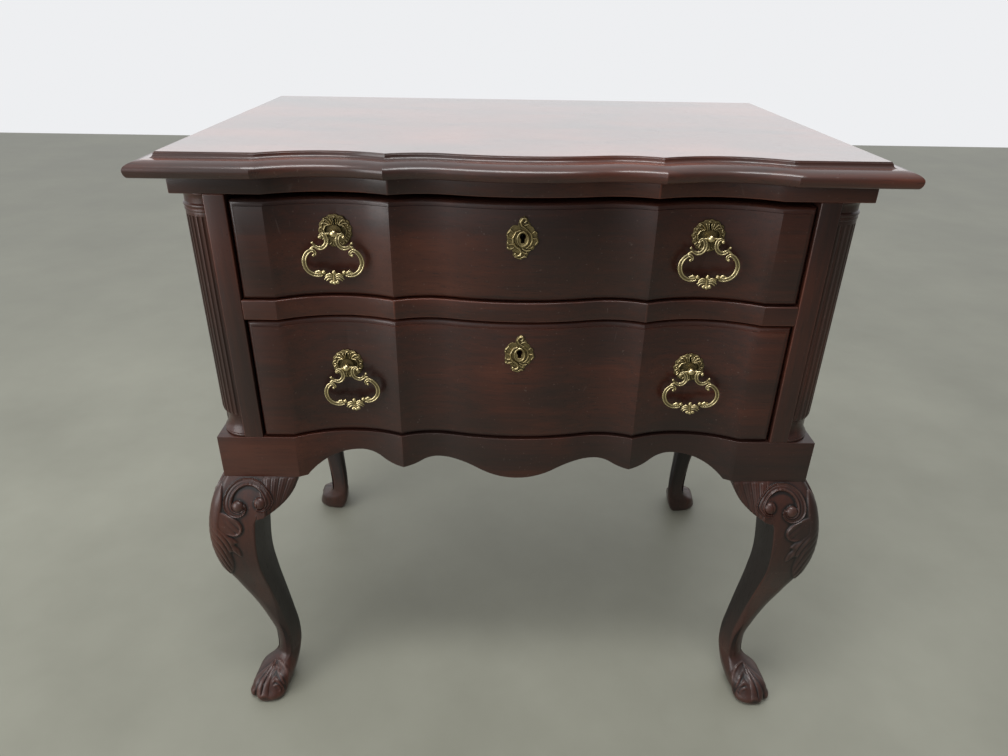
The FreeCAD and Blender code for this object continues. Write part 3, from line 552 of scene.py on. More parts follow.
def leaf_height(across, level):
    """The carved height of the acanthus leaf that wraps the knee's outer corner."""
    main = inside_depth(across, level, leaf_outline)
    lobe = inside_depth(across, level, lobe_outline)
    slant = 1.8 + 1.2 * soft_step(305 - level, 0.0, 55.0)
    vein = (level - slant * (across - 10)) / 14.0 + 0.35 * np.sin(level / 17.0)
    ripple = np.abs(np.sin(math.pi * vein)) ** 0.75
    ripple *= soft_step(334 - level, 0.0, 34.0) * (1 - 0.75 * soft_step(across, 5.0, 17.0))
    body = soft_step(main, 0.0, 2.6) * (1.6 + 1.5 * ripple * soft_step(main, 1.0, 7.0))
    tip = 1 - soft_step(across, -9.0, 4.0)
    rim = bell(lobe, 1.9, 1.5) * tip
    crease = np.abs(np.sin(math.pi * (level - 1.1 * across) / 11.0)) * soft_step(lobe, 2.0, 5.0)
    upper = soft_step(lobe, 0.0, 1.8) * (1.3 + 1.5 * rim + 0.7 * crease * tip)
    gap = np.exp(-((lobe + 0.9) ** 2) / 1.2) * (main > 1.5) * 1.1 * (1 - soft_step(across, -6.0, 3.0))
    return np.maximum(body - gap, upper)


def knee_height(across, level):
    """All the carving on a front knee, by the distance out from the corner and the level."""
    scroll = scroll_height(across, level)
    leaf = leaf_height(across, level)
    pip = np.hypot((across + 41.0) / 3.4, (level - 329.6) / 3.0)
    scroll = np.maximum(scroll, 1.6 * soft_step(1 - pip, 0.0, 0.6))
    return np.maximum(scroll, leaf) * (1 - 0.75 * soft_step(level, 371.5, leg_top))


def paw_height(side, front, level):
    """Toes, tendons and wavy folds of a paw, by the place in plan and the level."""
    angle = np.degrees(np.arctan2(front + 15.0, side + 17.0)) - 45.0
    off = np.abs(angle)

    def ridge(place, wide):
        return dome((off - place) / wide)

    tendon = soft_step(66.0 - level, 0.0, 22.0)
    low = soft_step(18.0 - level, 0.0, 12.0)
    inner = soft_step(angle, 4.0, 14.0)
    toe = ridge(1.0, 9.0) * (1.9 * tendon + 2.6 * low)
    pads = tendon * inner * (2.0 * ridge(16.5, 6.8) + 1.5 * ridge(30.5, 6.6)) * (1 - 0.5 * low)
    rim = 1.3 * tendon * inner * ridge(76.0 + 0.7 * (level - 8.0), 5.0) * soft_step(level, 3.0, 10.0)
    notch = 3.4 * bell(off, 10.4, 2.2) * soft_step(17.0 - level, 0.0, 8.0)
    swell = soft_step(off, 12.0, 28.0) * (1 - soft_step(off, 60.0, 84.0))
    ball = (1.2 + 3.2 * inner) * bell(level, 6.0, 8.0) * swell
    right, up = (off - 52.0) * 0.70, (level - 16.0) * 0.80
    reach = np.hypot(right, up)
    facing = soft_step((right + up) / np.maximum(reach, 0.1), 0.1, 0.9)
    wave = 2 * math.pi * reach / 5.4 + 0.9 * np.sin(level * 0.35 + off * 0.08)
    folds = 0.9 * inner * np.cos(wave) * facing
    folds *= soft_step(reach, 2.5, 5.0) * soft_step(24.0 - reach, 0.0, 8.0)
    folds *= 1 - soft_step(off - 0.7 * (level - 8.0), 64.0, 72.0)
    return toe + pads + rim + ball + folds - notch


def worn_relief(height, reach):
    """How high each place stands over its neighbours, from 0 in the grooves to 1 on the ridges."""
    mean = height.copy()
    for axis in (0, 1):
        wide = np.pad(mean, [(reach, reach) if axis == side else (0, 0) for side in (0, 1)], mode="edge")
        total = np.cumsum(wide, axis=axis)
        count = mean.shape[axis]
        span = 2 * reach
        mean = (np.take(total, range(span, span + count), axis) - np.take(total, range(count), axis)) / span
    return np.clip(0.52 + 0.55 * np.tanh((height - mean) / 0.75), 0.0, 1.0)


def lay_relief(piece, relief):
    """Stores the relief with the piece for its finish to read: worn relief, and any lowering such as
    painted shade.
    """
    layer = piece.data.attributes.new("relief", "FLOAT", "POINT")
    layer.data.foreach_set("value", relief.ravel())


def outward(points):
    """Directions square to a grid of places, pointing away from its middle line."""
    around = np.gradient(points, axis=1)
    closed = np.allclose(points[:, 0], points[:, -1])
    if closed:
        around[:, 0] = around[:, -1] = (points[:, 1] - points[:, -2]) / 2
    square = np.cross(around, np.gradient(points, axis=0))
    square /= np.maximum(np.linalg.norm(square, axis=2, keepdims=True), 1e-9)
    if closed:
        away = points - points.mean(axis=1, keepdims=True)
        square *= np.sign((square * away).sum())
    return square


carved = mahogany("mahogany_carved", "z", carved=True)


def build_leg(node, side, end, knees, levels, runs, bends):
    """One leg, with side 1 on the right and end -1 at the front."""
    sections = [leg_section(*row, runs, bends) for row in zip(levels, *leg_at(levels))]
    form = np.array([np.column_stack([ring, np.full(len(ring), z)]) for ring, z in zip(sections, levels)])
    lean = outward(form)
    out, forward, level = np.moveaxis(form, 2, 0)
    height = paw_height(out, forward, level) * soft_step(72.0 - level, 0.0, 8.0)
    room = toe_reach - np.maximum(out, forward)
    height = np.where(level < 40.0, np.minimum(height, room), height)
    if knees:
        column = np.arange(form.shape[1])
        first, last = bends[0] + 1, bends[0] + runs[0] + bends[1] + runs[1]
        shown = (column >= first) & (column <= last)
        height = height + knee_height(np.minimum(out, forward), level) * shown
    out, forward, level = np.moveaxis(form + lean * height[..., None], 2, 0)
    level = np.clip(level, 0.0, leg_top)
    level[0], level[-1] = 0.0, leg_top
    places = np.stack([side * (half_width + out), end * (half_depth + forward), level], 2)
    leg = stretched_grid(node + "_carved", places)
    # Above the paw, faces that turn in under the case get a lower relief, so the carved finish paints them
    # darker: painted shade.
    behind = soft_step(-lean[..., 0] - lean[..., 1], 0.15, 0.75) * soft_step(level, 40.0, 90.0)
    lay_relief(leg, worn_relief(height, 6 if knees else 3) * (1 - 0.80 * behind))
    close_up(leg)
    lay_on(leg, [carved])
    fit(leg, "case", node, smooth=48.0)


front_levels = [np.linspace(0, 66, 80), np.linspace(69, 228, 50), np.linspace(230, leg_top, 186)]
rear_levels = [np.linspace(0, 66, 60), np.linspace(70, leg_top, 70)]
for row, end, knees, levels, runs, bends in (
    ("front", -1, True, front_levels, [64, 64, 14, 8, 8, 14], [10, 40, 10, 8, 8, 8]),
    ("rear", 1, False, rear_levels, [20, 20, 8, 6, 6, 8], [6, 16, 6, 5, 6, 5]),
):
    for hand, side in hands.items():
        build_leg(f"leg_{row}_{hand}", side, end, knees, np.concatenate(levels), runs, bends)


# Knee brackets: mahogany ears glued between each leg and the base, two to a leg.
# On the front legs they carry the scroll on and end in a fan of leafy flutes.
def build_bracket(side, end, turned, carved_face, rows, columns):
    """One ear, along the front or, turned, along the end of the case."""
    ear_foot, fan_place, fan_level = 325.0, 54.0, 306.0
    levels = np.linspace(ear_foot, leg_top, rows)
    level = np.repeat(levels[:, None], columns, axis=1)
    out, into = (line[:, None] for line in leg_at(levels)[:2])
    tip = 25.5 + np.sqrt(65.9**2 - (levels[:, None] - 388.6) ** 2)
    root = np.minimum(into - 4.0, tip - 1.0)
    inward = root + (tip - root) * np.linspace(0, 1, columns)
    turning = into + 8.0
    spread = np.clip((inward - turning) / (92.0 - turning), 0, 1)
    swell = out * (1 - spread) ** 1.4 - 0.25
    rim = np.clip((tip - inward) / 4.0, 0, 1)
    front = swell - 2.0 * (1 - np.sqrt(1 - (1 - rim) ** 2))
    front = front - 1.2 * (1 - soft_step(inward - into, -2.2, -0.6))
    height = np.zeros_like(front)
    if carved_face:
        angle = np.degrees(np.arctan2(inward - fan_place, level - fan_level))
        far = np.hypot(inward - fan_place, level - fan_level)
        leaves = (np.clip(angle, -14, 36) + 14) / 8.4
        share = leaves - np.floor(leaves)
        ridge = 1 - np.abs(2 * share - 1)
        crown = 66.0 + 0.26 * np.clip(angle, 0, 36) + 3.0 * np.sin(math.pi * share) ** 0.8
        leaf = 1 - soft_step(far, crown - 4.0, crown + 1.0)
        double = bell(share, 0.34, 0.10) + bell(share, 0.70, 0.10)
        fan = leaf * (0.7 + 0.40 * ridge - 0.20 * double - 0.4 * bell(ridge, 0.0, 0.20))
        fan = fan * soft_step(far, 6.0, 26.0)
        scroll = scroll_height(-inward, level)
        height = np.where(scroll > 0.4, np.maximum(scroll, fan * 0.6), fan)
        height = height * (1 - 0.85 * soft_step(level, 372.0, leg_top))
    slope = np.gradient(front, levels, axis=0)
    tilt = np.hypot(1.0, slope)
    face = front + height / tilt
    level = np.clip(level - slope * height / tilt, ear_foot, leg_top)
    level[0], level[-1] = ear_foot, leg_top
    along = np.concatenate([inward, inward[:, -1:], inward[:, -1:], inward[:, :1], inward[:, :1]], 1)
    deep = np.concatenate([face, front[:, -1:] - 3, np.full((rows, 2), -33.9), face[:, :1]], 1)
    tall = np.concatenate([level, level[:, :4]], 1)
    sideways, forwards = (deep, -along) if turned else (-along, deep)
    places = np.stack([side * (half_width + sideways), end * (half_depth + forwards), tall], 2)
    ear = stretched_grid("ear", places)
    # The relief is also lowered, and the finish made darker, the further the ear reaches from the leg.
    relief = worn_relief(height, 4) - 0.15 * soft_step(inward - into, 6.0, 16.0)
    lay_relief(ear, np.concatenate([relief, np.full((rows, 4), 0.4)], 1))
    close_up(ear)
    return ear


def join_pieces(name, pieces):
    """Several made pieces of one kind as one object."""
    pick(*pieces)
    bpy.ops.object.join()
    pieces[0].name = name
    return pieces[0]


for row, end, carved_face, rows, columns in (("front", -1, True, 150, 130), ("rear", 1, False, 40, 24)):
    for hand, side in hands.items():
        ears = [build_bracket(side, end, turned, carved_face, rows, columns) for turned in (False, True)]
        node = f"knee_brackets_{row}_{hand}"
        pair = join_pieces(node + "_carved", ears)
        lay_on(pair, [carved])
        fit(pair, "case", node, smooth=48.0)


# Drawers: mahogany fronts sawn to the shaped line, with a thumbnail edge round a raised field.
# Behind each is a box of pale plain wood, glued and grooved together, that slides on the case's runners.
# The runners, guides, stops, cleats, back and dowels are of the same plain wood.
def plain_wood(name, grain):
    """Dry unpolished secondary wood inside the case, grey-brown with age."""
    finish, shader, place = start_finish(name)
    along = along_grain(place, grain, 0.05)
    rings = noise(along, 38.0, 4.0, warp=0.8)
    fibres = noise(along, 420.0, 2.0)
    stains = noise(place, 6.0, 4.0)
    wood = ramp(rings * 0.6 + fibres * 0.4, [
        (0.32, (0.150, 0.090, 0.048)),
        (0.52, (0.270, 0.175, 0.098)),
        (0.70, (0.360, 0.250, 0.150)),
    ])
    wood = blend(band(stains, 0.50, 0.72) * 0.5, wood, (0.085, 0.055, 0.034, 1.0))
    join_up(wood, shader, "Base Color")
    join_up(0.62 + fibres * 0.25, shader, "Roughness")
    raise_bumps(shader, fibres, 0.25, 0.0006)
    return finish


def recoat(node, finish):
    """A new finish on a solid that is kept as it is."""
    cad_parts[node].material_slots[0].material = finish


inner_wood = {grain: plain_wood("inner_wood_" + grain, grain) for grain in "xyz"}
drawers = ("upper", "lower")


def thumbnail(piece):
    """Rounds the outer front edge of a drawer's front to a thumbnail moulding."""
    low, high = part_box(piece.name.removesuffix("_eased"))
    weights = piece.data.attributes.new("bevel_weight_edge", "FLOAT", "EDGE")
    for edge in piece.data.edges:
        ends = [piece.data.vertices[index].co for index in edge.vertices]
        outer = all(
            min(place.x - low[0], high[0] - place.x, place.z - low[2], high[2] - place.z) < 0.0001
            for place in ends
        )
        behind = [place.y - 0.001 * (front_line(place.x * 1000) - half_depth) for place in ends]
        weights.data[edge.index].value = float(outer and all(-0.001 < gap < 0.004 for gap in behind))
    round_edges(piece, width=0.0046, segments=6, limit_method="WEIGHT")


for drawer in drawers:
    body = drawer + "_drawer"
    eased(body + "_front", body, [polished["x"], rubbed["x"]], 0.0009, thumbnail)
    for part, grain in (("left_side", "y"), ("right_side", "y"), ("back", "x"), ("bottom", "x")):
        eased(f"{body}_{part}", body, [inner_wood[grain]], 0.0006)
for node, grain in (
    ("drawer_runners", "y"), ("drawer_guides", "y"), ("drawer_stops", "x"),
    ("top_cleats", "y"), ("back_panel", "x"),
):
    eased(node, "case", [inner_wood[grain]], 0.0006)
recoat("leg_dowels", inner_wood["z"])


# Pull plates: cast brass rosettes with a fan over two dark windows and a rim of small leafy curls.
# Each is held to the drawer's front by the post that carries the bail, with a nut inside.
def brass(name, carved=True):
    """Cast brass with a dark patina, rubbed bright on what stands out."""
    finish, shader, place = start_finish(name)
    spots = noise(place, 260.0, 4.0, 0.6)
    cloud = noise(place, 90.0, 2.0)
    if carved:
        relief = worn_high(place)
    else:
        forward = place.node("ShaderNodeSeparateXYZ", {}, {"Vector": place}, out="Y")
        relief = 0.95 - band(forward, -0.2185, -0.2165) * 0.60 + cloud * 0.15
    shine = relief + (spots - 0.5) * 0.35 + (cloud - 0.5) * 0.35
    metal = ramp(shine, [
        (0.10, (0.018, 0.014, 0.007)),
        (0.36, (0.115, 0.088, 0.040)),
        (0.60, (0.330, 0.262, 0.125)),
        (0.90, (0.700, 0.590, 0.330)),
    ])
    join_up(metal, shader, "Base Color")
    join_up(0.62 - band(shine, 0.25, 0.9) * 0.36, shader, "Roughness")
    join_up(0.55 + band(shine, 0.20, 0.5) * 0.45, shader, "Metallic")
    raise_bumps(shader, spots, 0.2, 0.0003)
    return finish


antique_brass = brass("antique_brass")
plain_brass = brass("antique_brass_plain", carved=False)


def cast_plate(name, inner, outer, height_at, middle, seat, rings, spokes):
    """A cast plate from a hole's edge to an outer edge, both given by the angle, with its carved height."""
    angles = np.linspace(0, 2 * math.pi, spokes + 1)
    share = np.linspace(0, 1, rings)[:, None]
    radius = inner(angles) * (1 - share) + outer(angles) * share
    across, level = radius * np.sin(angles), radius * np.cos(angles)
    height = height_at(across, level)
    edge = np.minimum(share * rings / 2.5, (1 - share) * rings / 2.5)
    proud = height * np.sqrt(np.clip(1 - (1 - np.clip(edge, 0, 1)) ** 2, 0.1, 1))
    rows = [0] + list(range(rings)) + [rings - 1, 0]
    flat_back = [(1, 2), (0, 0)]
    deep = np.pad(proud, flat_back)
    places = np.stack([middle[0] + across[rows], seat - deep, middle[1] + level[rows]], 2)
    plate = stretched_grid(name, places)
    relief = worn_relief(height, 2) * 0.75 + 0.25 * np.clip(height / 3.2, 0, 1)
    lay_relief(plate, np.pad(relief, flat_back))
    close_up(plate)
    return plate


rosette_lines = [
    ([(0.9, 5.8), (1.1, 9.0), (1.5, 12.8)], [0.7, 0.8, 0.9], 2.5),
    ([(2.5, 6.0), (3.1, 9.2), (4.3, 12.8)], [0.7, 0.8, 0.9], 2.4),
    ([(4.2, 6.4), (6.0, 9.6), (8.6, 12.0), (10.8, 11.9), (11.0, 10.2)], [0.8, 1.0, 1.1, 1.0, 0.8], 2.6),
    ([(6.2, 6.8), (9.0, 8.0), (12.2, 8.6), (14.0, 7.2), (13.2, 5.6)], [0.8, 1.0, 1.1, 1.0, 0.8], 2.4),
    ([(5.6, 6.6), (9.6, 5.6), (11.9, 1.4), (11.2, -3.4), (8.6, -6.2)], [0.8, 1.0, 1.2, 1.0, 0.8], 2.8),
    ([(13.6, 4.2), (16.2, 2.8), (16.0, 0.2), (14.0, 0.4)], [0.7, 0.9, 0.9, 0.7], 2.0),
    ([(13.6, -1.6), (15.8, -3.4), (15.0, -6.0), (13.0, -5.2)], [0.7, 0.9, 0.9, 0.7], 2.0),
    ([(11.6, -6.6), (13.4, -9.0), (11.8, -11.2), (9.8, -10.0)], [0.7, 0.9, 0.9, 0.7], 2.0),
    ([(7.8, -9.4), (8.8, -12.4), (6.8, -14.6), (5.0, -12.8)], [0.7, 0.9, 0.9, 0.7], 2.0),
    ([(0.8, -7.0), (1.8, -10.6), (2.6, -14.2), (0.8, -16.4)], [0.8, 1.0, 1.0, 0.8], 2.3),
    ([(5.6, 14.6), (8.6, 14.4), (11.4, 13.0)], [0.6, 0.8, 0.7], 1.8),
]


def rosette_height(across, level):
    """A palmette at the top, windows beside the post, a hood over it, and a rim of small curls."""
    beside = np.abs(across)
    height = np.full(across.shape, 0.8)
    window = np.hypot((beside - 7.6) / 3.3, (level - 1.2) / 4.8)
    height = height * soft_step(window, 0.85, 1.05) + 0.12
    for path, widths, tall in rosette_lines:
        height = np.maximum(height, tall * dome(stroke(beside, level, path, widths)))
    bud = np.hypot(across / 2.1, (level - 15.0) / 1.3)
    height = np.maximum(height, 2.4 * dome(bud))
    hood = bell(np.hypot(across, level - 0.4), 5.0, 0.8) * soft_step(level, -2.0, 0.5)
    return np.maximum(height, 3.6 * hood)


def rosette_edge(angles):
    """The ruffled rim of a rosette."""
    return 17.3 + 0.55 * np.abs(np.cos(angles * 6.65)) + 0.35 * np.sin(angles * 15.0)


def post_hole(angles):
    """The round hole that the post comes through."""
    return np.full(angles.shape, 1.6)


pull_levels = {"upper": 680.0, "lower": 523.6}
plate_seat = -210.465
for drawer, pull_level in pull_levels.items():
    middles = [(side * lobe_place, pull_level) for side in hands.values()]
    rosettes = [
        cast_plate("rosette", post_hole, rosette_edge, rosette_height, middle, plate_seat, 56, 220)
        for middle in middles
    ]
    node = drawer + "_pull_plates"
    plates = join_pieces(node + "_cast", rosettes)
    lay_on(plates, [antique_brass])
    fit(plates, drawer + "_drawer", node, smooth=50.0)


# Bails: cast brass drops of four C-scrolls with a bud and sprays below.
# Each hangs on pins beside its post's ball, a little askew in its own way, as loose old pulls do.
def cast_bar(path, radii, relief, lift=0.0, sides=10):
    """A round bar through places across and up, in millimetres, thick and thin as given."""
    path = np.asarray(path, dtype=float)
    steps = np.arange(len(path), dtype=float)
    fine = np.linspace(0, len(path) - 1, 7 * (len(path) - 1) + 1)
    line = np.stack([read_through(fine, steps, path[:, axis]) for axis in (0, 1)], 1)
    thick = read_through(fine, steps, np.asarray(radii, dtype=float))
    run = np.gradient(line, axis=0)
    run /= np.linalg.norm(run, axis=1, keepdims=True)
    turn = np.linspace(0, 2 * math.pi, sides + 1)
    proud = np.cos(turn) * thick[:, None]
    aside = np.sin(turn) * thick[:, None]
    across = line[:, :1] - run[:, 1:] * aside
    level = line[:, 1:] + run[:, :1] * aside
    bar = stretched_grid("bar", np.stack([across, -proud - lift, level], 2))
    shine = relief * (0.35 + 0.65 * np.clip(0.45 + 0.75 * np.cos(turn), 0, 1))
    lay_relief(bar, np.repeat(shine[None, :], len(line), axis=0))
    close_up(bar)
    return bar


def cast_bead(place, radius, lift, stretch=(1.0, 1.0, 1.0), relief=0.9):
    """A small cast boss, round or stretched."""
    bpy.ops.object.select_all(action="DESELECT")
    bpy.ops.mesh.primitive_uv_sphere_add(segments=18, ring_count=10, radius=1.0)
    bead = bpy.context.object
    for vertex in bead.data.vertices:
        shape = Vector(vertex.co[axis] * radius * stretch[axis] for axis in range(3))
        vertex.co = (shape + Vector((place[0], -lift, place[1]))) * 0.001
    forward = np.array([max(0.0, -vertex.normal.y) for vertex in bead.data.vertices])
    lay_relief(bead, relief * (0.5 + 0.5 * forward))
    return bead


upper_curl = [
    (12.4, -4.0), (12.0, -1.9), (9.4, -0.6), (6.8, -2.2), (5.6, -6.4), (6.4, -11.0), (9.4, -14.4),
    (13.2, -15.5), (17.4, -13.8), (20.6, -9.6),
]
upper_radii = [1.5, 1.6, 1.6, 1.9, 2.1, 2.2, 2.2, 2.1, 1.8, 1.2]
lower_curl = [
    (20.2, -23.6), (18.4, -22.4), (18.2, -20.0), (20.0, -18.2), (22.9, -18.2), (26.4, -20.8), (29.2, -25.4),
    (30.2, -31.0), (29.0, -36.6), (26.0, -41.2), (21.4, -44.2), (16.4, -45.2), (12.4, -44.4), (10.8, -42.4),
]
lower_radii = [1.4, 1.5, 1.6, 1.8, 2.0, 2.2, 2.3, 2.4, 2.4, 2.3, 2.2, 2.0, 1.8, 1.7]


def set_aside(path, by):
    """A path beside another, to its left by a distance."""
    path = np.asarray(path, dtype=float)
    run = np.gradient(path, axis=0)
    run /= np.linalg.norm(run, axis=1, keepdims=True)
    return path + np.stack([-run[:, 1], run[:, 0]], 1) * np.asarray(by)[:, None]


def build_bail(name, side, pull_level, hang):
    """One bail, hung on its pins, and hanging askew by its own turns and shifts."""
    parts = []
    for hand in hands.values():
        for path, radii in ((upper_curl, upper_radii), (lower_curl, lower_radii)):
            path = np.asarray(path) * (hand, 1)
            radii = np.asarray(radii)
            parts.append(cast_bar(path, radii * 0.94, 0.40))
            for rim in (-1, 1):
                beside = set_aside(path, rim * radii * 0.66)
                parts.append(cast_bar(beside[1:-1], radii[1:-1] * 0.38, 1.0, 1.25, 8))
        for across, level, size in curl_ends:
            parts.append(cast_bead((hand * across, level), size, 0.5))
        for path, radii, relief, lift in bail_bars:
            parts.append(cast_bar(np.asarray(path) * (hand, 1), radii, relief, lift))
    for place, size, stretch in bail_beads:
        parts.append(cast_bead(place, size, 0.9, stretch))
    parts.append(cast_bar([(0.0, -42.5), (0.0, -47.0), (0.0, -52.5)], [1.3, 1.5, 2.0], 0.6, 0.4))
    bail = join_pieces(name + "_cast", parts)
    across, lean, yaw = hang
    place = Matrix.Translation(((side * lobe_place + across) * 0.001, pin_line * 0.001, pull_level * 0.001))
    turned = Matrix.Rotation(math.radians(yaw), 4, "Z") @ Matrix.Rotation(math.radians(lean), 4, "Y")
    bail.data.transform(place @ turned)
    lay_on(bail, [antique_brass])
    fit(bail, name, name, smooth=50.0)


pin_line = -221.465
curl_ends = [(12.2, -3.6, 2.1), (20.4, -9.9, 1.5), (20.0, -23.3, 1.8), (10.7, -42.0, 2.4)]
bail_bars = [
    ([(2.6, 0.0), (6.0, -0.2), (9.2, -0.8)], [1.3, 1.2, 1.5], 0.8, 0.2),
    ([(17.6, -13.6), (20.4, -14.6), (22.4, -16.6), (22.6, -18.6)], [1.3, 1.5, 1.4, 1.6], 0.8, 0.3),
    ([(19.4, -42.0), (16.6, -40.9), (14.4, -41.8), (13.6, -44.0)], [0.8, 1.5, 1.6, 1.0], 1.0, 0.9),
    ([(10.6, -44.4), (7.0, -46.4), (2.6, -48.6)], [1.7, 1.6, 1.5], 0.35, 0.0),
    ([(1.6, -45.4), (4.4, -43.9), (7.2, -44.8), (9.4, -47.2)], [0.8, 1.2, 1.2, 0.6], 0.95, 0.9),
    ([(1.6, -47.4), (4.8, -46.3), (8.0, -47.6), (10.4, -50.0)], [0.8, 1.2, 1.1, 0.5], 0.90, 0.8),
    ([(1.6, -49.6), (4.4, -49.0), (7.0, -50.2), (8.6, -51.8)], [0.8, 1.1, 1.0, 0.5], 0.85, 0.7),
]
bail_beads = [
    ((0.0, -42.2), 2.3, (1.0, 0.9, 1.2)),
    ((-3.0, -53.0), 2.2, (1.15, 0.8, 0.95)),
    ((0.0, -53.8), 2.2, (1.0, 0.9, 1.0)),
    ((3.0, -53.0), 2.2, (1.15, 0.8, 0.95)),
]
# Each bail's shift to the right in millimetres, its lean and its turn to one side in degrees.
hangs = {
    "upper_left": (-2.0, 1.5, 4.5),
    "upper_right": (0.5, -2.2, -4.5),
    "lower_left": (0.5, -7.5, 0.0),
    "lower_right": (0.5, -5.5, -6.0),
}
for drawer, pull_level in pull_levels.items():
    for hand, side in hands.items():
        build_bail(f"{drawer}_{hand}_bail", side, pull_level, hangs[f"{drawer}_{hand}"])
    recoat(drawer + "_pull_posts", plain_brass)


# Escutcheons: cast brass cartouches with a raised oval round the keyhole, a crest that leans to one side,
# ruffled edges and a scroll below. Each is pinned to the middle of its drawer's front.
key_levels = {"upper": 680.9, "lower": 547.5}
key_seat = -225.15
cartouche = np.array([
    (1.8, 21.5), (4.9, 19.0), (5.6, 15.4), (7.9, 13.3), (8.3, 11.2), (10.7, 9.9), (12.3, 6.5),
    (15.4, 4.4), (14.9, 0.5), (16.9, -4.3), (15.8, -8.2), (12.7, -10.3), (11.7, -13.8), (8.3, -15.5),
    (6.5, -17.6), (4.9, -22.0), (1.8, -23.7), (-2.4, -25.1), (-5.6, -24.1), (-10.3, -20.2),
    (-10.1, -17.6), (-8.1, -15.7), (-10.7, -14.5), (-14.7, -15.0), (-16.9, -13.2), (-16.3, -10.8),
    (-16.9, -7.3), (-15.9, -3.9), (-17.1, 1.5), (-16.7, 4.4), (-14.2, 7.4), (-11.7, 10.6),
    (-8.3, 12.2), (-5.1, 11.4), (-4.6, 15.4), (-2.4, 19.6),
])
eye = np.array((0.0, -2.6))


def cartouche_edge(angles):
    """The outline's distance from the eye of the keyhole at each angle."""
    spokes = cartouche - eye
    turns = np.arctan2(spokes[:, 0], spokes[:, 1]) % (2 * math.pi)
    order = np.argsort(turns)
    return np.interp(angles % (2 * math.pi), turns[order], np.hypot(*spokes.T)[order], period=2 * math.pi)


def keyhole_edge(angles):
    """The keyhole's edge: a round hole with a straight slot below it."""
    reach = np.linspace(0.05, 9.0, 360)[:, None]
    across = eye[0] + reach * np.sin(angles)
    level = eye[1] + reach * np.cos(angles)
    inside = (np.hypot(across, level) < 3.2) | ((np.abs(across) < 1.8) & (level < 0) & (level > -7.0))
    return np.where(inside, reach, 0).max(axis=0)


cartouche_lines = [
    ([(3.9, 7.5), (8.8, 2.3), (10.1, -4.0), (8.3, -8.9), (4.5, -11.9)], [1.0, 1.3, 1.4, 1.3, 0.9], 2.6),
    ([(-3.0, 6.8), (-7.3, 5.0), (-10.3, -1.0), (-10.1, -6.9), (-6.8, -11.1), (-2.8, -13.7),
      (-1.1, -17.0), (-2.6, -20.2), (-5.8, -20.8), (-7.7, -18.6)],
     [1.2, 1.0, 1.1, 1.2, 1.4, 1.5, 1.5, 1.4, 1.4, 1.3], 3.0),
    ([(2.8, 8.7), (-1.3, 11.2), (-2.8, 15.0), (-0.6, 18.9), (2.6, 19.3), (3.4, 16.6), (1.5, 15.0)],
     [1.0, 1.3, 1.4, 1.3, 1.3, 1.1, 0.9], 2.7),
    ([(1.9, 11.6), (5.1, 13.0), (7.1, 12.1)], [0.9, 1.1, 0.9], 2.1),
    ([(-9.4, 3.4), (-12.8, 6.8), (-15.6, 3.4)], [0.9, 1.2, 1.0], 2.0),
    ([(-11.3, -3.0), (-14.8, -1.4), (-16.1, 1.1)], [0.8, 1.1, 0.9], 1.9),
    ([(-10.5, -8.5), (-13.9, -8.9), (-15.6, -7.1)], [0.8, 1.1, 0.9], 1.9),
    ([(-9.2, -11.9), (-12.8, -13.7), (-15.6, -12.3)], [0.8, 1.2, 1.0], 2.2),
    ([(10.3, 3.9), (13.1, 6.2), (14.3, 3.4)], [0.8, 1.1, 0.9], 2.0),
    ([(11.3, -2.0), (14.6, -2.4), (15.6, -5.3), (13.5, -8.1)], [0.9, 1.2, 1.2, 0.9], 2.1),
    ([(5.8, -12.3), (9.2, -12.3), (10.7, -10.5)], [0.8, 1.1, 0.9], 2.0),
    ([(0.6, -13.5), (4.3, -15.4), (8.1, -14.5)], [0.9, 1.3, 0.8], 2.4),
    ([(0.4, -16.4), (3.2, -18.4), (4.7, -17.2)], [0.9, 1.2, 0.7], 2.2),
    ([(-0.4, -22.4), (2.1, -21.4), (3.9, -21.8)], [1.0, 1.4, 1.0], 2.4),
    ([(-7.5, -22.2), (-3.9, -23.4), (-0.9, -24.0)], [0.9, 1.1, 0.9], 1.9),
]


def cartouche_height(across, level):
    """The scrolls, leaves and oval of an escutcheon over its thin plate."""
    height = np.full(across.shape, 0.75)
    ring = np.hypot(across / 6.6, (level + 2.6) / 8.6)
    oval = 1.5 * (1 - soft_step(ring, 0.97, 1.06)) + 0.8 * bell(ring, 0.88, 0.10)
    height = np.maximum(height, np.where(ring < 1.1, 0.6 + oval, 0))
    for path, widths, tall in cartouche_lines:
        share = np.abs(stroke(across, level, path, widths))
        height = np.maximum(height, tall * (0.8 * dome(share) + 0.2 * (share < 1)))
    return height


for drawer, key_level in key_levels.items():
    node = drawer + "_escutcheon"
    plate = cast_plate(
        node + "_cast", keyhole_edge, cartouche_edge,
        lambda across, level: cartouche_height(across + eye[0], level + eye[1]),
        (eye[0], key_level + eye[1]), key_seat, 60, 260,
    )
    lay_on(plate, [antique_brass])
    fit(plate, drawer + "_drawer", node, smooth=50.0)


# Locks, screws and nuts: iron and steel fittings let into the fronts and driven up through the cleats.
# They are grey and dull, with a little rust, and show only when a drawer is open.
def iron(name):
    """Grey iron with brown rust in its dull places."""
    finish, shader, place = start_finish(name)
    skin = noise(place, 140.0, 5.0, 0.65)
    metal = ramp(skin, [
        (0.35, (0.085, 0.060, 0.045)), (0.52, (0.20, 0.19, 0.18)), (0.70, (0.36, 0.35, 0.34)),
    ])
    join_up(metal, shader, "Base Color")
    join_up(0.65 - skin * 0.35, shader, "Roughness")
    join_up(band(skin, 0.3, 0.5), shader, "Metallic")
    raise_bumps(shader, skin, 0.2, 0.0003)
    return finish


fitting_iron = iron("fitting_iron")
recoat("top_screws", fitting_iron)
for drawer in drawers:
    for part in ("lock_case", "lock_bolt", "drawer_fasteners"):
        recoat(f"{drawer}_{part}", fitting_iron)


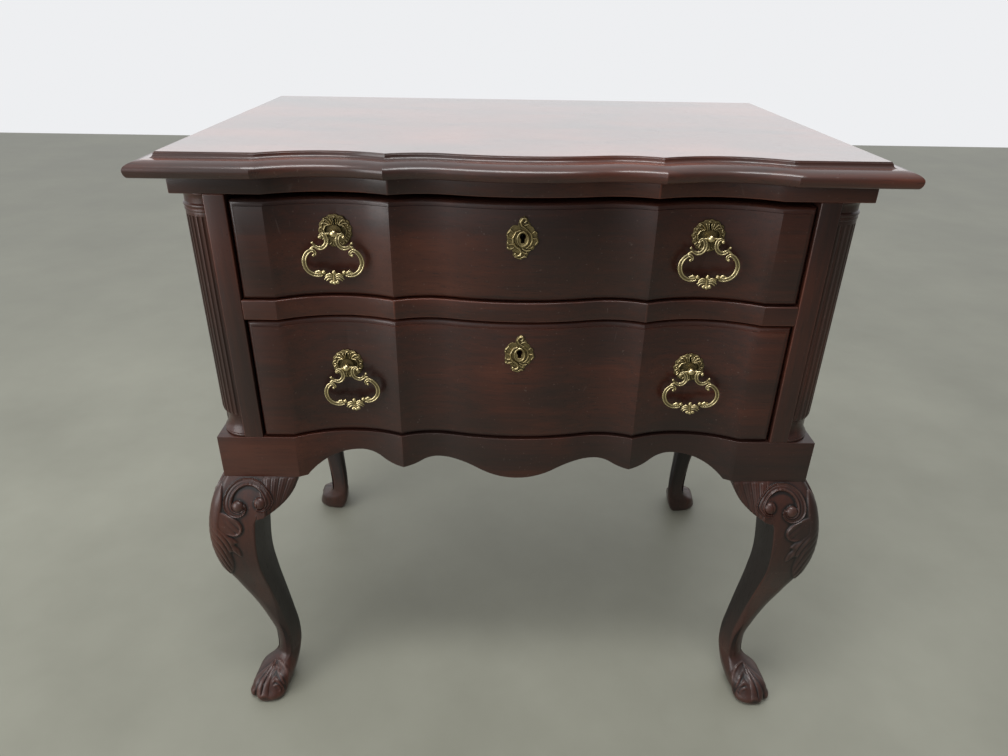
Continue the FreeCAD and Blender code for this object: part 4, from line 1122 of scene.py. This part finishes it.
# Studio: a pale floor, a pale surround that is darker to the front and right, and three wide soft lights.
# The camera stands before the middle of the front, a little above the top.
def pale_floor():
    """A pale grey floor with faint clouds in it."""
    finish, shader, place = start_finish("pale_floor")
    cloud = noise(place, 2.2, 5.0, 0.6)
    grey = ramp(cloud, [(0.30, (0.215, 0.215, 0.170)), (0.70, (0.285, 0.285, 0.230))])
    join_up(grey, shader, "Base Color")
    join_up(0.42 + cloud * 0.2, shader, "Roughness")
    return finish


bpy.ops.object.select_all(action="DESELECT")
bpy.ops.mesh.primitive_plane_add(size=9.0, location=(0.0, 0.0, -0.0004))
floor = bpy.context.object
floor.name = "floor"
floor.data.materials.append(pale_floor())

sky = bpy.data.worlds.new("surround")
sky.use_nodes = True
around = Tone(sky.node_tree, sky.node_tree.nodes.new("ShaderNodeTexCoord").outputs["Generated"])
to_right, to_back = [around.node("ShaderNodeSeparateXYZ", {}, {"Vector": around}, out=way) for way in "XY"]
white = (0.97, 0.98, 1.0, 1.0)
dusk = (0.17, 0.16, 0.155, 1.0)
light_side = band(to_back * 0.66 - to_right * 0.75, -0.95, -0.15)
background = sky.node_tree.nodes["Background"]
join_up(blend(light_side, dusk, white), background, "Color")
background.inputs["Strength"].default_value = 0.88
bpy.context.scene.world = sky
bpy.context.scene.view_settings.view_transform = "Standard"


def soft_light(name, place, aim, size, power):
    """A wide soft light at a place, turned to an aim."""
    bpy.ops.object.light_add(type="AREA", location=place)
    lamp = bpy.context.object
    lamp.name = name
    lamp.data.shape = "RECTANGLE"
    lamp.data.size, lamp.data.size_y = size
    lamp.data.energy = power
    lamp.rotation_euler = (Vector(aim) - Vector(place)).to_track_quat("-Z", "Y").to_euler()


soft_light("ceiling_light", (-0.15, -0.7, 2.6), (0.0, 0.0, 0.5), (1.5, 0.5), 27.0)
soft_light("left_light", (-2.0, -1.5, 1.1), (0.0, -0.1, 0.45), (1.4, 1.6), 26.0)
soft_light("window_light", (0.0, 2.6, 1.85), (0.0, 0.0, 0.76), (4.0, 1.2), 4.0)

pitch, yaw, roll = 0.482, 0.012, 0.017
look = Vector((math.sin(yaw) * math.cos(pitch), math.cos(yaw) * math.cos(pitch), -math.sin(pitch)))
level_right = Vector((math.cos(yaw), -math.sin(yaw), 0.0))
level_up = level_right.cross(look)
right_way = math.cos(roll) * level_right + math.sin(roll) * level_up
up_way = math.cos(roll) * level_up - math.sin(roll) * level_right
bpy.ops.object.camera_add()
camera = bpy.context.object
camera.name = "camera"
camera.data.lens = 25.736
camera.data.sensor_width = 36.0
camera.data.clip_start = 0.05
stand = Matrix((right_way, up_way, -look)).transposed().to_4x4()
stand.translation = Vector((-0.0259, -0.95645, 0.8972))
camera.matrix_world = stand
bpy.context.scene.camera = camera
